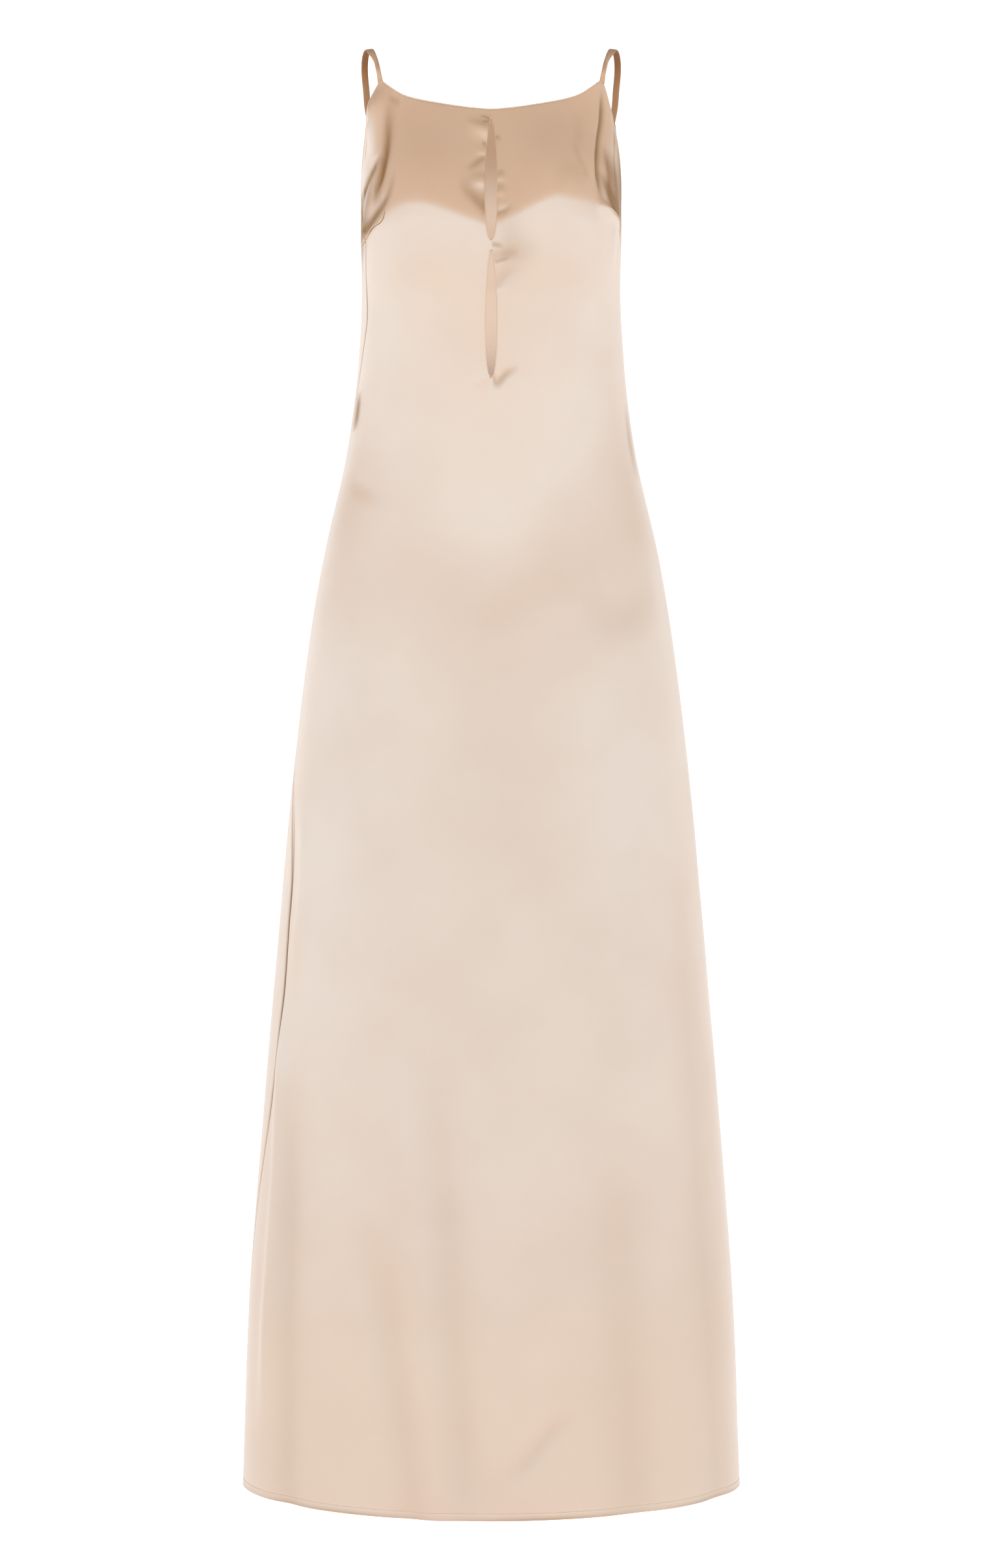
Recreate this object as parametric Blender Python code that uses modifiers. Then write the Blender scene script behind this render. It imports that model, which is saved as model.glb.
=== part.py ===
"""Slip dress: a long satin dress on two thin straps, filled out as when it is worn.

Metres, +Z up. The front faces -Y and the wearer's left is +X. The origin lies midway
between the tops of the two straps, where a wearer's shoulders carry the dress.

Every panel is a grid of cloth. A column of the grid has a nominal angle, counted from the
middle of its panel out to the side seam at 90 degrees, and a row has a height. The dress's
rounded section at that height turns the two into a place.
"""
import math
from collections import namedtuple

import bmesh
import bpy
from mathutils import Vector

# Cloth and seams
CLOTH = 0.0015
SEAM_GAP = 0.0003
MOST_INSET = 2.0                # degrees, more than a seam's gap ever takes
INSET_HALVINGS = 24
HEM_HEIGHT = -1.498
LEVEL_HEIGHT = -0.400           # below this the rows of the grid are level
UNDERARM_HEIGHT = -0.165
SIDE = 90.0                     # nominal angle of a side seam, degrees

# Front neckline, a scoop between the strap ends: its height at each share of the way out
# from the middle to a strap's inner corner
Neck = namedtuple("Neck", "share height")
NECKLINE = (
    Neck(0.00, -0.0817),
    Neck(0.08, -0.0811),
    Neck(0.26, -0.0785),
    Neck(0.55, -0.0720),
    Neck(0.74, -0.0658),
    Neck(0.84, -0.0600),
    Neck(0.93, -0.0514),
    Neck(1.00, -0.0438),
)
NECK_LOW = NECKLINE[0].height
FRONT_STRAP_INNER = 55.6        # nominal angles of a strap end's two corners
FRONT_STRAP_OUTER = 59.4
FRONT_CORNER_INNER = NECKLINE[-1].height
FRONT_CORNER_OUTER = -0.0468

# Back top edge, nearly straight between the strap ends
BACK_LOW = -0.0560
BACK_STRAP_INNER = 50.6
BACK_STRAP_OUTER = 53.8
BACK_CORNER = -0.0632

# Straps
STRAP_WIDTH = 0.0070
STRAP_THICKNESS = 0.0015
STRAP_STEPS = 30
STRAP_LIFT = 0.0006             # how far a strap's end stands above its panel's edge
PATH_STEP = 0.01                # share of the path over which its direction is read

# The line across the bust where the leaning chest turns upright, higher over each cup
BustLine = namedtuple("BustLine", "x height")
BUST_LINE = (
    BustLine(-0.1357, -0.1950),
    BustLine(-0.1150, -0.1900),
    BustLine(-0.0920, -0.1790),
    BustLine(-0.0700, -0.1780),
    BustLine(-0.0450, -0.1870),
    BustLine(-0.0200, -0.1970),
    BustLine(0.0000, -0.2030),
    BustLine(0.0220, -0.1945),
    BustLine(0.0450, -0.1810),
    BustLine(0.0660, -0.1715),
    BustLine(0.0860, -0.1725),
    BustLine(0.1100, -0.1760),
    BustLine(0.1280, -0.1870),
    BustLine(0.1357, -0.1900),
)
TURN_HEIGHT = -0.203            # where the middle of the front turns upright
CUP_TOP = -0.060                # the cups fade out from CUP_FADE up to this height
CUP_FADE = -0.150

# Grid resolution
NECK_COLUMNS = 11               # from the slit's edge to the strap's inner corner
ARMHOLE_COLUMNS = 6
WAIST_ROWS = 2                  # from the lower slit down to LEVEL_HEIGHT
SKIRT_ROWS = 22
BACK_NECK_COLUMNS = 6           # from the middle of the back to the strap's inner corner

# The rounded section of the dress at a few heights. Each half is a superellipse: its
# width and depth are half-axes and its roundness is the exponent (2 is an ellipse).
# Front depths are those at the middle. Above the underarm the back reaches wider than its
# armhole edge lets show.
Section = namedtuple("Section", "height front_width front_depth front_round "
                                "back_width back_depth back_round")
SECTIONS = (
    Section(0.000, 0.1357, 0.0600, 2.15, 0.1760, 0.0760, 3.0),
    Section(-0.050, 0.1357, 0.0785, 2.15, 0.1690, 0.0875, 3.0),
    Section(-0.080, 0.1357, 0.0900, 2.2, 0.1548, 0.0945, 3.0),
    Section(-0.120, 0.1357, 0.1054, 2.3, 0.1428, 0.1005, 2.9),
    Section(-0.160, 0.1357, 0.1212, 2.45, 0.1362, 0.1045, 2.8),
    Section(-0.185, 0.1357, 0.1306, 2.55, 0.1358, 0.1050, 2.8),
    Section(-0.200, 0.1357, 0.1348, 2.6, 0.1357, 0.1050, 2.7),
    Section(-0.215, 0.1355, 0.1368, 2.6, 0.1355, 0.1045, 2.7),
    Section(-0.235, 0.1350, 0.1366, 2.6, 0.1350, 0.1030, 2.6),
    Section(-0.270, 0.1352, 0.1332, 2.5, 0.1352, 0.1005, 2.6),
    Section(-0.300, 0.1365, 0.1296, 2.5, 0.1365, 0.0980, 2.6),
    Section(-0.360, 0.1413, 0.1230, 2.5, 0.1413, 0.0950, 2.5),
    Section(-0.430, 0.1517, 0.1188, 2.4, 0.1517, 0.0955, 2.4),
    Section(-0.530, 0.1743, 0.1195, 2.3, 0.1743, 0.1050, 2.3),
    Section(-0.630, 0.1912, 0.1305, 2.2, 0.1912, 0.1220, 2.2),
    Section(-0.765, 0.2074, 0.1440, 2.1, 0.2074, 0.1340, 2.1),
    Section(-0.900, 0.2200, 0.1550, 2.05, 0.2200, 0.1430, 2.05),
    Section(-1.100, 0.2372, 0.1700, 2.0, 0.2372, 0.1565, 2.0),
    Section(-1.300, 0.2524, 0.1830, 1.95, 0.2524, 0.1680, 1.95),
    Section(-1.500, 0.2598, 0.1880, 1.9, 0.2598, 0.1760, 1.9),
)

# Where each side seam lies, as an angle from the middle of the front. The wearer's right
# seam (-X) swings forward under the arm and again below the hip.
Seam = namedtuple("Seam", "height right left")
SEAMS = (
    Seam(0.000, 90.0, 90.0),
    Seam(-0.150, 90.0, 90.0),
    Seam(-0.178, 80.0, 91.0),
    Seam(-0.205, 73.0, 92.0),
    Seam(-0.245, 73.0, 93.0),
    Seam(-0.290, 67.5, 93.0),
    Seam(-0.330, 73.0, 93.0),
    Seam(-0.420, 85.0, 93.0),
    Seam(-0.530, 90.0, 93.0),
    Seam(-0.780, 88.0, 93.0),
    Seam(-0.900, 77.0, 93.0),
    Seam(-1.000, 75.0, 93.0),
    Seam(-1.100, 78.0, 93.0),
    Seam(-1.250, 84.0, 93.0),
    Seam(-1.500, 88.0, 92.0),
)

# Two slits down the middle of the front, closed above, between and below
Slit = namedtuple("Slit", "top bottom half_width rows")
SLITS = (
    Slit(-0.0918, -0.2214, 0.0066, 9),
    Slit(-0.2334, -0.3571, 0.0060, 8),
)
SLIT_END = 0.0007               # half-width left at a slit's ends
SLIT_FULLEST = 1.25             # a power: above 1 the fullest place is below the middle
SLIT_ROUND = 0.4
SKIRT_STRIP = 0.0040            # half-width of the middle column low on the skirt

# The largest soft folds, each a straight ridge or trough from one place to another.
# Angles are counted from the middle of the front round to +X, so 180 is the middle of
# the back, and a rise below zero is a trough.
Fold = namedtuple("Fold", "top_angle top_height low_angle low_height width rise")
FOLDS = (
    Fold(-50.0, -0.070, -64.0, -0.178, 0.0090, -0.0040),    # chest, wearer's right
    Fold(-61.0, -0.070, -71.0, -0.160, 0.0080, 0.0040),
    Fold(-42.0, -0.152, -68.0, -0.202, 0.0080, -0.0035),
    Fold(57.0, -0.045, 54.0, -0.185, 0.0085, -0.0040),      # chest, wearer's left
    Fold(66.0, -0.070, 62.0, -0.170, 0.0090, 0.0025),
    Fold(-21.5, -1.000, -13.5, -1.650, 0.0220, 0.0050),     # skirt front
    Fold(-30.0, -1.180, -20.5, -1.700, 0.0200, -0.0050),
    Fold(-13.0, -1.050, -5.5, -1.600, 0.0200, -0.0030),
    Fold(-60.0, -1.020, -53.0, -1.700, 0.0240, -0.0040),
    Fold(-71.0, -1.000, -66.0, -1.700, 0.0200, 0.0030),
    Fold(62.0, -0.800, 66.0, -1.700, 0.0240, -0.0040),
    Fold(30.0, -1.100, 38.0, -1.700, 0.0300, -0.0030),
    Fold(140.0, -0.700, 132.0, -1.700, 0.0300, -0.0060),    # skirt back
    Fold(166.0, -0.900, 163.0, -1.700, 0.0300, 0.0050),
    Fold(192.0, -0.800, 197.0, -1.700, 0.0300, -0.0050),
    Fold(222.0, -0.950, 229.0, -1.700, 0.0260, 0.0050),
    Fold(141.0, -0.080, 128.0, -0.200, 0.0120, -0.0030),    # under the back straps
    Fold(219.0, -0.080, 232.0, -0.200, 0.0120, -0.0030),
)
FOLD_FADE = 0.25                # share of a fold's length over which each end fades out

# Path of the strap on the wearer's left from the front panel to the back panel, between
# its two sewn ends: its middle line and the way that its outer face looks.
Station = namedtuple("Station", "along x y z face_x face_y face_z")
STRAP_PATH = (
    Station(0.16, 0.1172, -0.0400, -0.0290, 0.55, -0.62, 0.56),
    Station(0.28, 0.1203, -0.0270, -0.0168, 0.45, -0.50, 0.74),
    Station(0.39, 0.1245, -0.0130, -0.0068, 0.30, -0.28, 0.91),
    Station(0.48, 0.1284, 0.0000, -0.0012, 0.12, 0.00, 0.99),
    Station(0.58, 0.1318, 0.0160, -0.0040, 0.05, 0.33, 0.94),
    Station(0.69, 0.1336, 0.0340, -0.0108, 0.03, 0.47, 0.88),
    Station(0.78, 0.1338, 0.0470, -0.0190, 0.05, 0.60, 0.80),
    Station(0.88, 0.1328, 0.0600, -0.0325, 0.10, 0.78, 0.62),
    Station(0.95, 0.1318, 0.0682, -0.0475, 0.25, 0.88, 0.38),
)

SATIN = (0.83, 0.74, 0.66, 1.0)
STRAP_SATIN = (0.74, 0.60, 0.49, 1.0)
SATIN_ROUGHNESS = 0.38
SATIN_METALLIC = 0.0

COLLECTION = "slip_dress"


def read_table(rows, key):
    """Read a table at a place between its rows, on a smooth curve through them."""
    rising = rows[-1][0] > rows[0][0]
    ordered = rows if rising else rows[::-1]
    key = min(max(key, ordered[0][0]), ordered[-1][0])
    index = 0
    while index < len(ordered) - 2 and key > ordered[index + 1][0]:
        index += 1
    low, high = ordered[index], ordered[index + 1]
    before = ordered[max(index - 1, 0)]
    after = ordered[min(index + 2, len(ordered) - 1)]
    span = high[0] - low[0]
    t = (key - low[0]) / span
    values = [key]
    for column in range(1, len(low)):
        slope_low = (high[column] - before[column]) / (high[0] - before[0]) * span
        slope_high = (after[column] - low[column]) / (after[0] - low[0]) * span
        values.append((2 * t**3 - 3 * t**2 + 1) * low[column] + (t**3 - 2 * t**2 + t) * slope_low
                      + (3 * t**2 - 2 * t**3) * high[column] + (t**3 - t**2) * slope_high)
    return type(low)(*values)


def smooth(value):
    """Ease from 0 to 1 as the value goes from 0 to 1."""
    value = min(max(value, 0.0), 1.0)
    return value * value * (3.0 - 2.0 * value)


def plain_point(angle, height):
    """A point of the cloth with its cups but no folds."""
    section = read_table(SECTIONS, height)
    sine = math.sin(math.radians(angle))
    if math.cos(math.radians(angle)) < 0.0:
        power = section.back_round
        flat = (1.0 - abs(sine)**power)**(1.0 / power)
        return Vector((section.back_width * sine, section.back_depth * flat, height))
    x = section.front_width * sine
    cups = smooth((CUP_TOP - height) / (CUP_TOP - CUP_FADE))
    turned = height - (read_table(BUST_LINE, x).height - TURN_HEIGHT) * cups
    power = section.front_round
    flat = (1.0 - abs(sine)**power)**(1.0 / power)
    return Vector((x, -read_table(SECTIONS, turned).front_depth * flat, height))


def outward(angle, height, step=1.0):
    """The level direction that points out of the dress."""
    along = plain_point(angle + step, height) - plain_point(angle - step, height)
    return Vector((along.y, -along.x, 0.0)).normalized()


def turned_near(angle, other):
    """The same angle, give or take whole turns, within half a turn of the other."""
    return other + (angle - other + 180.0) % 360.0 - 180.0


def fold_height(angle, height):
    """How far the folds lift the cloth, or drop it, along the outward direction."""
    section = read_table(SECTIONS, height)
    per_degree = math.radians((section.front_width + section.front_depth) / 2.0)
    total = 0.0
    for fold in FOLDS:
        here = Vector((turned_near(angle, fold.top_angle) * per_degree, height))
        top = Vector((fold.top_angle * per_degree, fold.top_height))
        low = Vector((fold.low_angle * per_degree, fold.low_height))
        run = low - top
        along = (here - top).dot(run) / run.length_squared
        if not 0.0 < along < 1.0:
            continue
        across = (here - top - run * along).length / fold.width
        fade = smooth(along / FOLD_FADE) * smooth((1.0 - along) / FOLD_FADE)
        total += fold.rise * fade * math.exp(-across * across)
    return total


def cloth_point(angle, height, depth=CLOTH):
    """A point of the cloth, so deep under its outer face."""
    return plain_point(angle, height) + outward(angle, height) * (fold_height(angle, height) - depth)


def seam_inset(angle, height, direction):
    """Degrees from a seam that take a panel's edge back by half the seam's gap."""
    seam = plain_point(angle, height)
    low, high = 0.0, MOST_INSET
    for _ in range(INSET_HALVINGS):
        middle = (low + high) / 2.0
        if (plain_point(angle + direction * middle, height) - seam).length < SEAM_GAP / 2.0:
            low = middle
        else:
            high = middle
    return high


def front_top(nominal):
    """Height of the front panel's top edge: neckline, strap end, then armhole."""
    nominal = abs(nominal)
    if nominal <= FRONT_STRAP_INNER:
        share = math.sin(math.radians(nominal)) / math.sin(math.radians(FRONT_STRAP_INNER))
        return read_table(NECKLINE, share).height
    if nominal <= FRONT_STRAP_OUTER:
        share = (nominal - FRONT_STRAP_INNER) / (FRONT_STRAP_OUTER - FRONT_STRAP_INNER)
        return FRONT_CORNER_INNER + (FRONT_CORNER_OUTER - FRONT_CORNER_INNER) * share
    share = (nominal - FRONT_STRAP_OUTER) / (SIDE - FRONT_STRAP_OUTER)
    return FRONT_CORNER_OUTER + (UNDERARM_HEIGHT - FRONT_CORNER_OUTER) * share


def back_top(nominal):
    """Height of the back panel's top edge: straight top, strap end, then armhole."""
    nominal = abs(nominal)
    if nominal <= BACK_STRAP_INNER:
        share = nominal / BACK_STRAP_INNER
        return BACK_LOW + (BACK_CORNER - BACK_LOW) * share * share
    if nominal <= BACK_STRAP_OUTER:
        return BACK_CORNER
    share = (nominal - BACK_STRAP_OUTER) / (SIDE - BACK_STRAP_OUTER)
    return BACK_CORNER + (UNDERARM_HEIGHT - BACK_CORNER) * share


def evenly(start, end, count):
    """Values from start to end in equal steps, without the start."""
    return [start + (end - start) * step / count for step in range(1, count + 1)]


def eased(start, end, count):
    """Values from start to end, closer together at both ends, without the start."""
    return [start + (end - start) * (1.0 - math.cos(math.pi * step / count)) / 2.0
            for step in range(1, count + 1)]


def slit_half_width(height):
    """Half the width of the slits at a height, or of the narrow strip between them."""
    for slit in SLITS:
        if slit.bottom <= height <= slit.top:
            share = (slit.top - height) / (slit.top - slit.bottom)
            fullness = math.sin(math.pi * min(share**SLIT_FULLEST, 1.0))
            return max(slit.half_width * max(fullness, 0.0)**SLIT_ROUND, SLIT_END)
    return SKIRT_STRIP if height < LEVEL_HEIGHT else SLIT_END


def panel_rows():
    """Heights of the rows at the middle of the front, from the hem up, and the slits' rows.

    Both panels have these rows, so that their seam edges match point for point.
    """
    heights = [NECK_LOW]
    slit_rows = []
    for slit in SLITS:
        heights.append(slit.top)
        slit_rows += range(len(heights) - 1, len(heights) - 1 + slit.rows)
        heights += eased(slit.top, slit.bottom, slit.rows)
    heights += evenly(heights[-1], LEVEL_HEIGHT, WAIST_ROWS)
    heights += evenly(LEVEL_HEIGHT, HEM_HEIGHT, SKIRT_ROWS)
    last = len(heights) - 2
    return heights[::-1], {last - row for row in slit_rows}


def fitted_height(front_height, top_here):
    """Height of a row at one column: level low down, following the top edge above."""
    if front_height <= LEVEL_HEIGHT:
        return front_height
    share = (top_here - LEVEL_HEIGHT) / (NECK_LOW - LEVEL_HEIGHT)
    return LEVEL_HEIGHT + (front_height - LEVEL_HEIGHT) * share


def satin(name, colour):
    """A plain satin material."""
    material = bpy.data.materials.new(name)
    material.use_nodes = True
    shader = material.node_tree.nodes["Principled BSDF"]
    shader.inputs["Base Color"].default_value = colour
    shader.inputs["Roughness"].default_value = SATIN_ROUGHNESS
    shader.inputs["Metallic"].default_value = SATIN_METALLIC
    return material


def add_piece(name, bm, thickness, offset, colour):
    """Make an object of an open sheet of cloth and give the sheet its wall."""
    mesh = bpy.data.meshes.new(name)
    bm.to_mesh(mesh)
    bm.free()
    mesh.shade_smooth()
    mesh.materials.append(satin(name + "_satin", colour))
    piece = bpy.data.objects.new(name, mesh)
    bpy.data.collections[COLLECTION].objects.link(piece)
    wall = piece.modifiers.new("wall", "SOLIDIFY")
    wall.thickness = thickness
    wall.offset = offset
    return piece


def sheet(columns, rows, place, opening=None):
    """A grid of cloth, each of its points placed by its column and row."""
    bm = bmesh.new()
    bmesh.ops.create_grid(bm, x_segments=columns, y_segments=rows, size=0.5)
    if opening:
        gone = []
        for face in bm.faces:
            middle = face.calc_center_median()
            cell = (int((middle.x + 0.5) * columns), int((middle.y + 0.5) * rows))
            if opening(*cell):
                gone.append(face)
        bmesh.ops.delete(bm, geom=gone, context="FACES")
    for vert in bm.verts:
        column = round((vert.co.x + 0.5) * columns)
        row = round((vert.co.y + 0.5) * rows)
        vert.co = place(column, row)
    return bm


def make_front():
    """Front panel, one piece of cloth with two slits down its middle."""
    half = [0.0] + evenly(0.0, FRONT_STRAP_INNER, NECK_COLUMNS) + [FRONT_STRAP_OUTER]
    half += evenly(FRONT_STRAP_OUTER, SIDE, ARMHOLE_COLUMNS)
    nominals = [-angle for angle in half[::-1]] + half
    strip = len(half) - 1
    heights, slit_rows = panel_rows()

    def place(column, row):
        nominal = nominals[column]
        height = fitted_height(heights[row], front_top(nominal))
        seams = read_table(SEAMS, height)
        side = 1.0 if column > strip else -1.0
        seam = seams.left if side > 0 else seams.right
        width = read_table(SECTIONS, height).front_width
        edge = math.degrees(math.asin(slit_half_width(height) / width))
        last = seam - seam_inset(side * seam, height, -side)
        angle = edge + (last - edge) * abs(nominal) / SIDE
        return cloth_point(side * angle, height)

    bm = sheet(len(nominals) - 1, len(heights) - 1, place,
               lambda column, row: column == strip and row in slit_rows)
    return add_piece("front_panel", bm, CLOTH, 1.0, SATIN)


def make_back():
    """Back panel, one piece of cloth."""
    half = evenly(0.0, BACK_STRAP_INNER, BACK_NECK_COLUMNS) + [BACK_STRAP_OUTER]
    half += evenly(BACK_STRAP_OUTER, SIDE, ARMHOLE_COLUMNS)
    nominals = [-angle for angle in half[::-1]] + [0.0] + half
    heights, _ = panel_rows()

    def place(column, row):
        nominal = nominals[column]
        height = fitted_height(heights[row], back_top(nominal))
        seams = read_table(SEAMS, height)
        side = 1.0 if nominal < 0 else -1.0
        seam = seams.left if side > 0 else seams.right
        first = seam + seam_inset(side * seam, height, side)
        return cloth_point(180.0 + (180.0 - first) * nominal / SIDE, height)

    bm = sheet(len(nominals) - 1, len(heights) - 1, place)
    return add_piece("back_panel", bm, CLOTH, 1.0, SATIN)


def make_strap(name, side):
    """A flat strap from the front panel's corner over the shoulder to the back panel's."""
    def sewn_end(angles, heights):
        return [cloth_point(angle, height + STRAP_LIFT, CLOTH / 2.0)
                for angle, height in zip(angles, heights)]

    front = sewn_end((FRONT_STRAP_INNER, FRONT_STRAP_OUTER),
                     (FRONT_CORNER_INNER, FRONT_CORNER_OUTER))
    back = sewn_end((180.0 - BACK_STRAP_INNER, 180.0 - BACK_STRAP_OUTER),
                    (BACK_CORNER, BACK_CORNER))
    first = Station(0.0, *((front[0] + front[1]) / 2.0), *outward(FRONT_STRAP_INNER, FRONT_CORNER_INNER))
    last = Station(1.0, *((back[0] + back[1]) / 2.0), *outward(180.0 - BACK_STRAP_INNER, BACK_CORNER))
    path = (first,) + STRAP_PATH + (last,)

    def place(column, row):
        along = row / STRAP_STEPS
        if row in (0, STRAP_STEPS):
            point = (back if row else front)[column].copy()
        else:
            here = read_table(path, along)
            run = Vector(read_table(path, along + PATH_STEP)[1:4])
            run -= Vector(read_table(path, along - PATH_STEP)[1:4])
            across = run.cross(Vector(here[4:7])).normalized()
            point = Vector(here[1:4]) + across * STRAP_WIDTH * (column - 0.5)
        point.x *= side
        return point

    bm = sheet(1, STRAP_STEPS, place)
    if side < 0:
        bmesh.ops.reverse_faces(bm, faces=bm.faces)
    return add_piece(name, bm, STRAP_THICKNESS, 0.0, STRAP_SATIN)


def main():
    for old in list(bpy.data.objects):
        bpy.data.objects.remove(old, do_unlink=True)
    collection = bpy.data.collections.new(COLLECTION)
    bpy.context.scene.collection.children.link(collection)
    make_front()
    make_back()
    make_strap("strap_left", 1.0)
    make_strap("strap_right", -1.0)


main()
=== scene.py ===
"""Slip dress: the finished look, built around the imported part.

Metres, +Z up. The front faces -Y and the wearer's left is +X. Every piece is modelled in
place on the form of the part's own panels and straps.

A place on a panel has an angle, counted from the middle of the front round to +X, and a
height. The dress's rounded section at that height turns the two into a point. Creases and
puckers are drawn on the cloth in two lengths: the way round it from the middle of its
panel, and the height.
"""
import math
from collections import namedtuple

import bmesh
import bpy
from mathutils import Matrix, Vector, noise


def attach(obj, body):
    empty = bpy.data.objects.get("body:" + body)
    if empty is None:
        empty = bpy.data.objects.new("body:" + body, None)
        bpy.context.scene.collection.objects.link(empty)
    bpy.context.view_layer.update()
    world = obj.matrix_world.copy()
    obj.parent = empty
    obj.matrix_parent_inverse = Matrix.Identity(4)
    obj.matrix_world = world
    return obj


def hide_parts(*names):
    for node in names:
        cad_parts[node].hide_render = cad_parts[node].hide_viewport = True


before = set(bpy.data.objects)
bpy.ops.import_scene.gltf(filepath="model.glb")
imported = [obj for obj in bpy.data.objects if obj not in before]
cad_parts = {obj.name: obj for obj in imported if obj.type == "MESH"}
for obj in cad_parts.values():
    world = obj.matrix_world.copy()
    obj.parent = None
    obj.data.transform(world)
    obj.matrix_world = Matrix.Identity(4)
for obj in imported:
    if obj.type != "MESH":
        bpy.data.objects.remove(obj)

bl_info = {
    "name": "Slip dress",
    "version": (1, 0, 0),
    "blender": (4, 5, 0),
    "location": "3D Viewport > Sidebar > Slip dress",
    "description": "Builds a long satin slip dress with its slits, straps, seams and stitching",
    "category": "Object",
}

# Edges of the cloth
SEAM_GAP = 0.0003
HEM_HEIGHT = -1.498
LEVEL_HEIGHT = -0.400           # below this the rows of the grid are level
UNDERARM_HEIGHT = -0.165
SIDE = 90.0                     # nominal angle of a side seam, degrees
FRONT_STRAP_INNER = 55.6        # nominal angles of a strap end's two corners
FRONT_STRAP_OUTER = 59.4
FRONT_CORNER_OUTER = -0.0468
BACK_LOW = -0.0560
BACK_STRAP_INNER = 50.6
BACK_STRAP_OUTER = 53.8
BACK_CORNER = -0.0632

# Front neckline: its height at each share of the way out from the middle to a strap's
# inner corner
Neck = namedtuple("Neck", "share height")
NECKLINE = (
    Neck(0.00, -0.0817),
    Neck(0.08, -0.0811),
    Neck(0.26, -0.0785),
    Neck(0.55, -0.0717),
    Neck(0.74, -0.0649),
    Neck(0.84, -0.0589),
    Neck(0.93, -0.0508),
    Neck(1.00, -0.0438),
)
NECK_LOW = NECKLINE[0].height
FRONT_CORNER_INNER = NECKLINE[-1].height

# The rounded section of the dress. Each half is a superellipse: its width and depth are
# half-axes and its roundness is the exponent. Front depths are those at the middle, where
# the cloth turns upright at the height TURN_HEIGHT.
Section = namedtuple("Section", "height front_width front_depth front_round "
                                "back_width back_depth back_round")
SECTIONS = (
    Section(0.000, 0.1357, 0.0600, 2.15, 0.1760, 0.0760, 3.0),
    Section(-0.050, 0.1357, 0.0785, 2.15, 0.1690, 0.0875, 3.0),
    Section(-0.080, 0.1357, 0.0900, 2.2, 0.1548, 0.0945, 3.0),
    Section(-0.120, 0.1357, 0.1054, 2.3, 0.1428, 0.1005, 2.9),
    Section(-0.160, 0.1357, 0.1212, 2.45, 0.1362, 0.1045, 2.8),
    Section(-0.185, 0.1357, 0.1306, 2.55, 0.1358, 0.1050, 2.8),
    Section(-0.200, 0.1357, 0.1352, 2.6, 0.1357, 0.1050, 2.7),
    Section(-0.208, 0.1356, 0.1370, 2.6, 0.1356, 0.1048, 2.7),
    Section(-0.215, 0.1355, 0.1376, 2.6, 0.1355, 0.1045, 2.7),
    Section(-0.235, 0.1350, 0.1368, 2.6, 0.1350, 0.1030, 2.6),
    Section(-0.270, 0.1352, 0.1332, 2.5, 0.1352, 0.1005, 2.6),
    Section(-0.300, 0.1365, 0.1296, 2.5, 0.1365, 0.0980, 2.6),
    Section(-0.360, 0.1413, 0.1230, 2.5, 0.1413, 0.0950, 2.5),
    Section(-0.430, 0.1517, 0.1188, 2.4, 0.1517, 0.0955, 2.4),
    Section(-0.530, 0.1743, 0.1195, 2.3, 0.1743, 0.1050, 2.3),
    Section(-0.630, 0.1912, 0.1305, 2.2, 0.1912, 0.1220, 2.2),
    Section(-0.765, 0.2074, 0.1440, 2.1, 0.2074, 0.1340, 2.1),
    Section(-0.900, 0.2200, 0.1550, 2.05, 0.2200, 0.1430, 2.05),
    Section(-1.100, 0.2372, 0.1700, 2.0, 0.2372, 0.1565, 2.0),
    Section(-1.300, 0.2524, 0.1830, 1.95, 0.2524, 0.1680, 1.95),
    Section(-1.500, 0.2598, 0.1880, 1.9, 0.2598, 0.1760, 1.9),
)

# The line across the bust where the leaning chest turns upright, higher over each cup
BustLine = namedtuple("BustLine", "x height")
BUST_LINE = (
    BustLine(-0.1357, -0.1950),
    BustLine(-0.1150, -0.1900),
    BustLine(-0.0920, -0.1790),
    BustLine(-0.0700, -0.1780),
    BustLine(-0.0450, -0.1870),
    BustLine(-0.0200, -0.1970),
    BustLine(0.0000, -0.2030),
    BustLine(0.0220, -0.1945),
    BustLine(0.0450, -0.1810),
    BustLine(0.0660, -0.1715),
    BustLine(0.0860, -0.1725),
    BustLine(0.1100, -0.1760),
    BustLine(0.1280, -0.1870),
    BustLine(0.1357, -0.1900),
)
TURN_HEIGHT = -0.208
CUP_TOP = -0.060                # the cups fade out from CUP_FADE up to this height
CUP_FADE = -0.150

# Where each side seam lies, as an angle from the middle of the front
Seam = namedtuple("Seam", "height right left")
SEAMS = (
    Seam(0.000, 90.0, 90.0),
    Seam(-0.150, 90.0, 90.0),
    Seam(-0.178, 80.0, 91.0),
    Seam(-0.205, 73.0, 92.0),
    Seam(-0.245, 73.0, 93.0),
    Seam(-0.290, 70.0, 93.0),
    Seam(-0.330, 74.5, 93.0),
    Seam(-0.420, 85.0, 93.0),
    Seam(-0.530, 90.0, 93.0),
    Seam(-0.710, 88.0, 93.0),
    Seam(-0.780, 80.0, 93.0),
    Seam(-0.860, 72.0, 93.0),
    Seam(-0.920, 70.8, 93.0),
    Seam(-0.975, 70.3, 93.0),
    Seam(-1.045, 71.0, 93.0),
    Seam(-1.100, 73.2, 93.0),
    Seam(-1.200, 80.0, 93.0),
    Seam(-1.300, 85.0, 93.0),
    Seam(-1.500, 88.0, 92.0),
)

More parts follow.
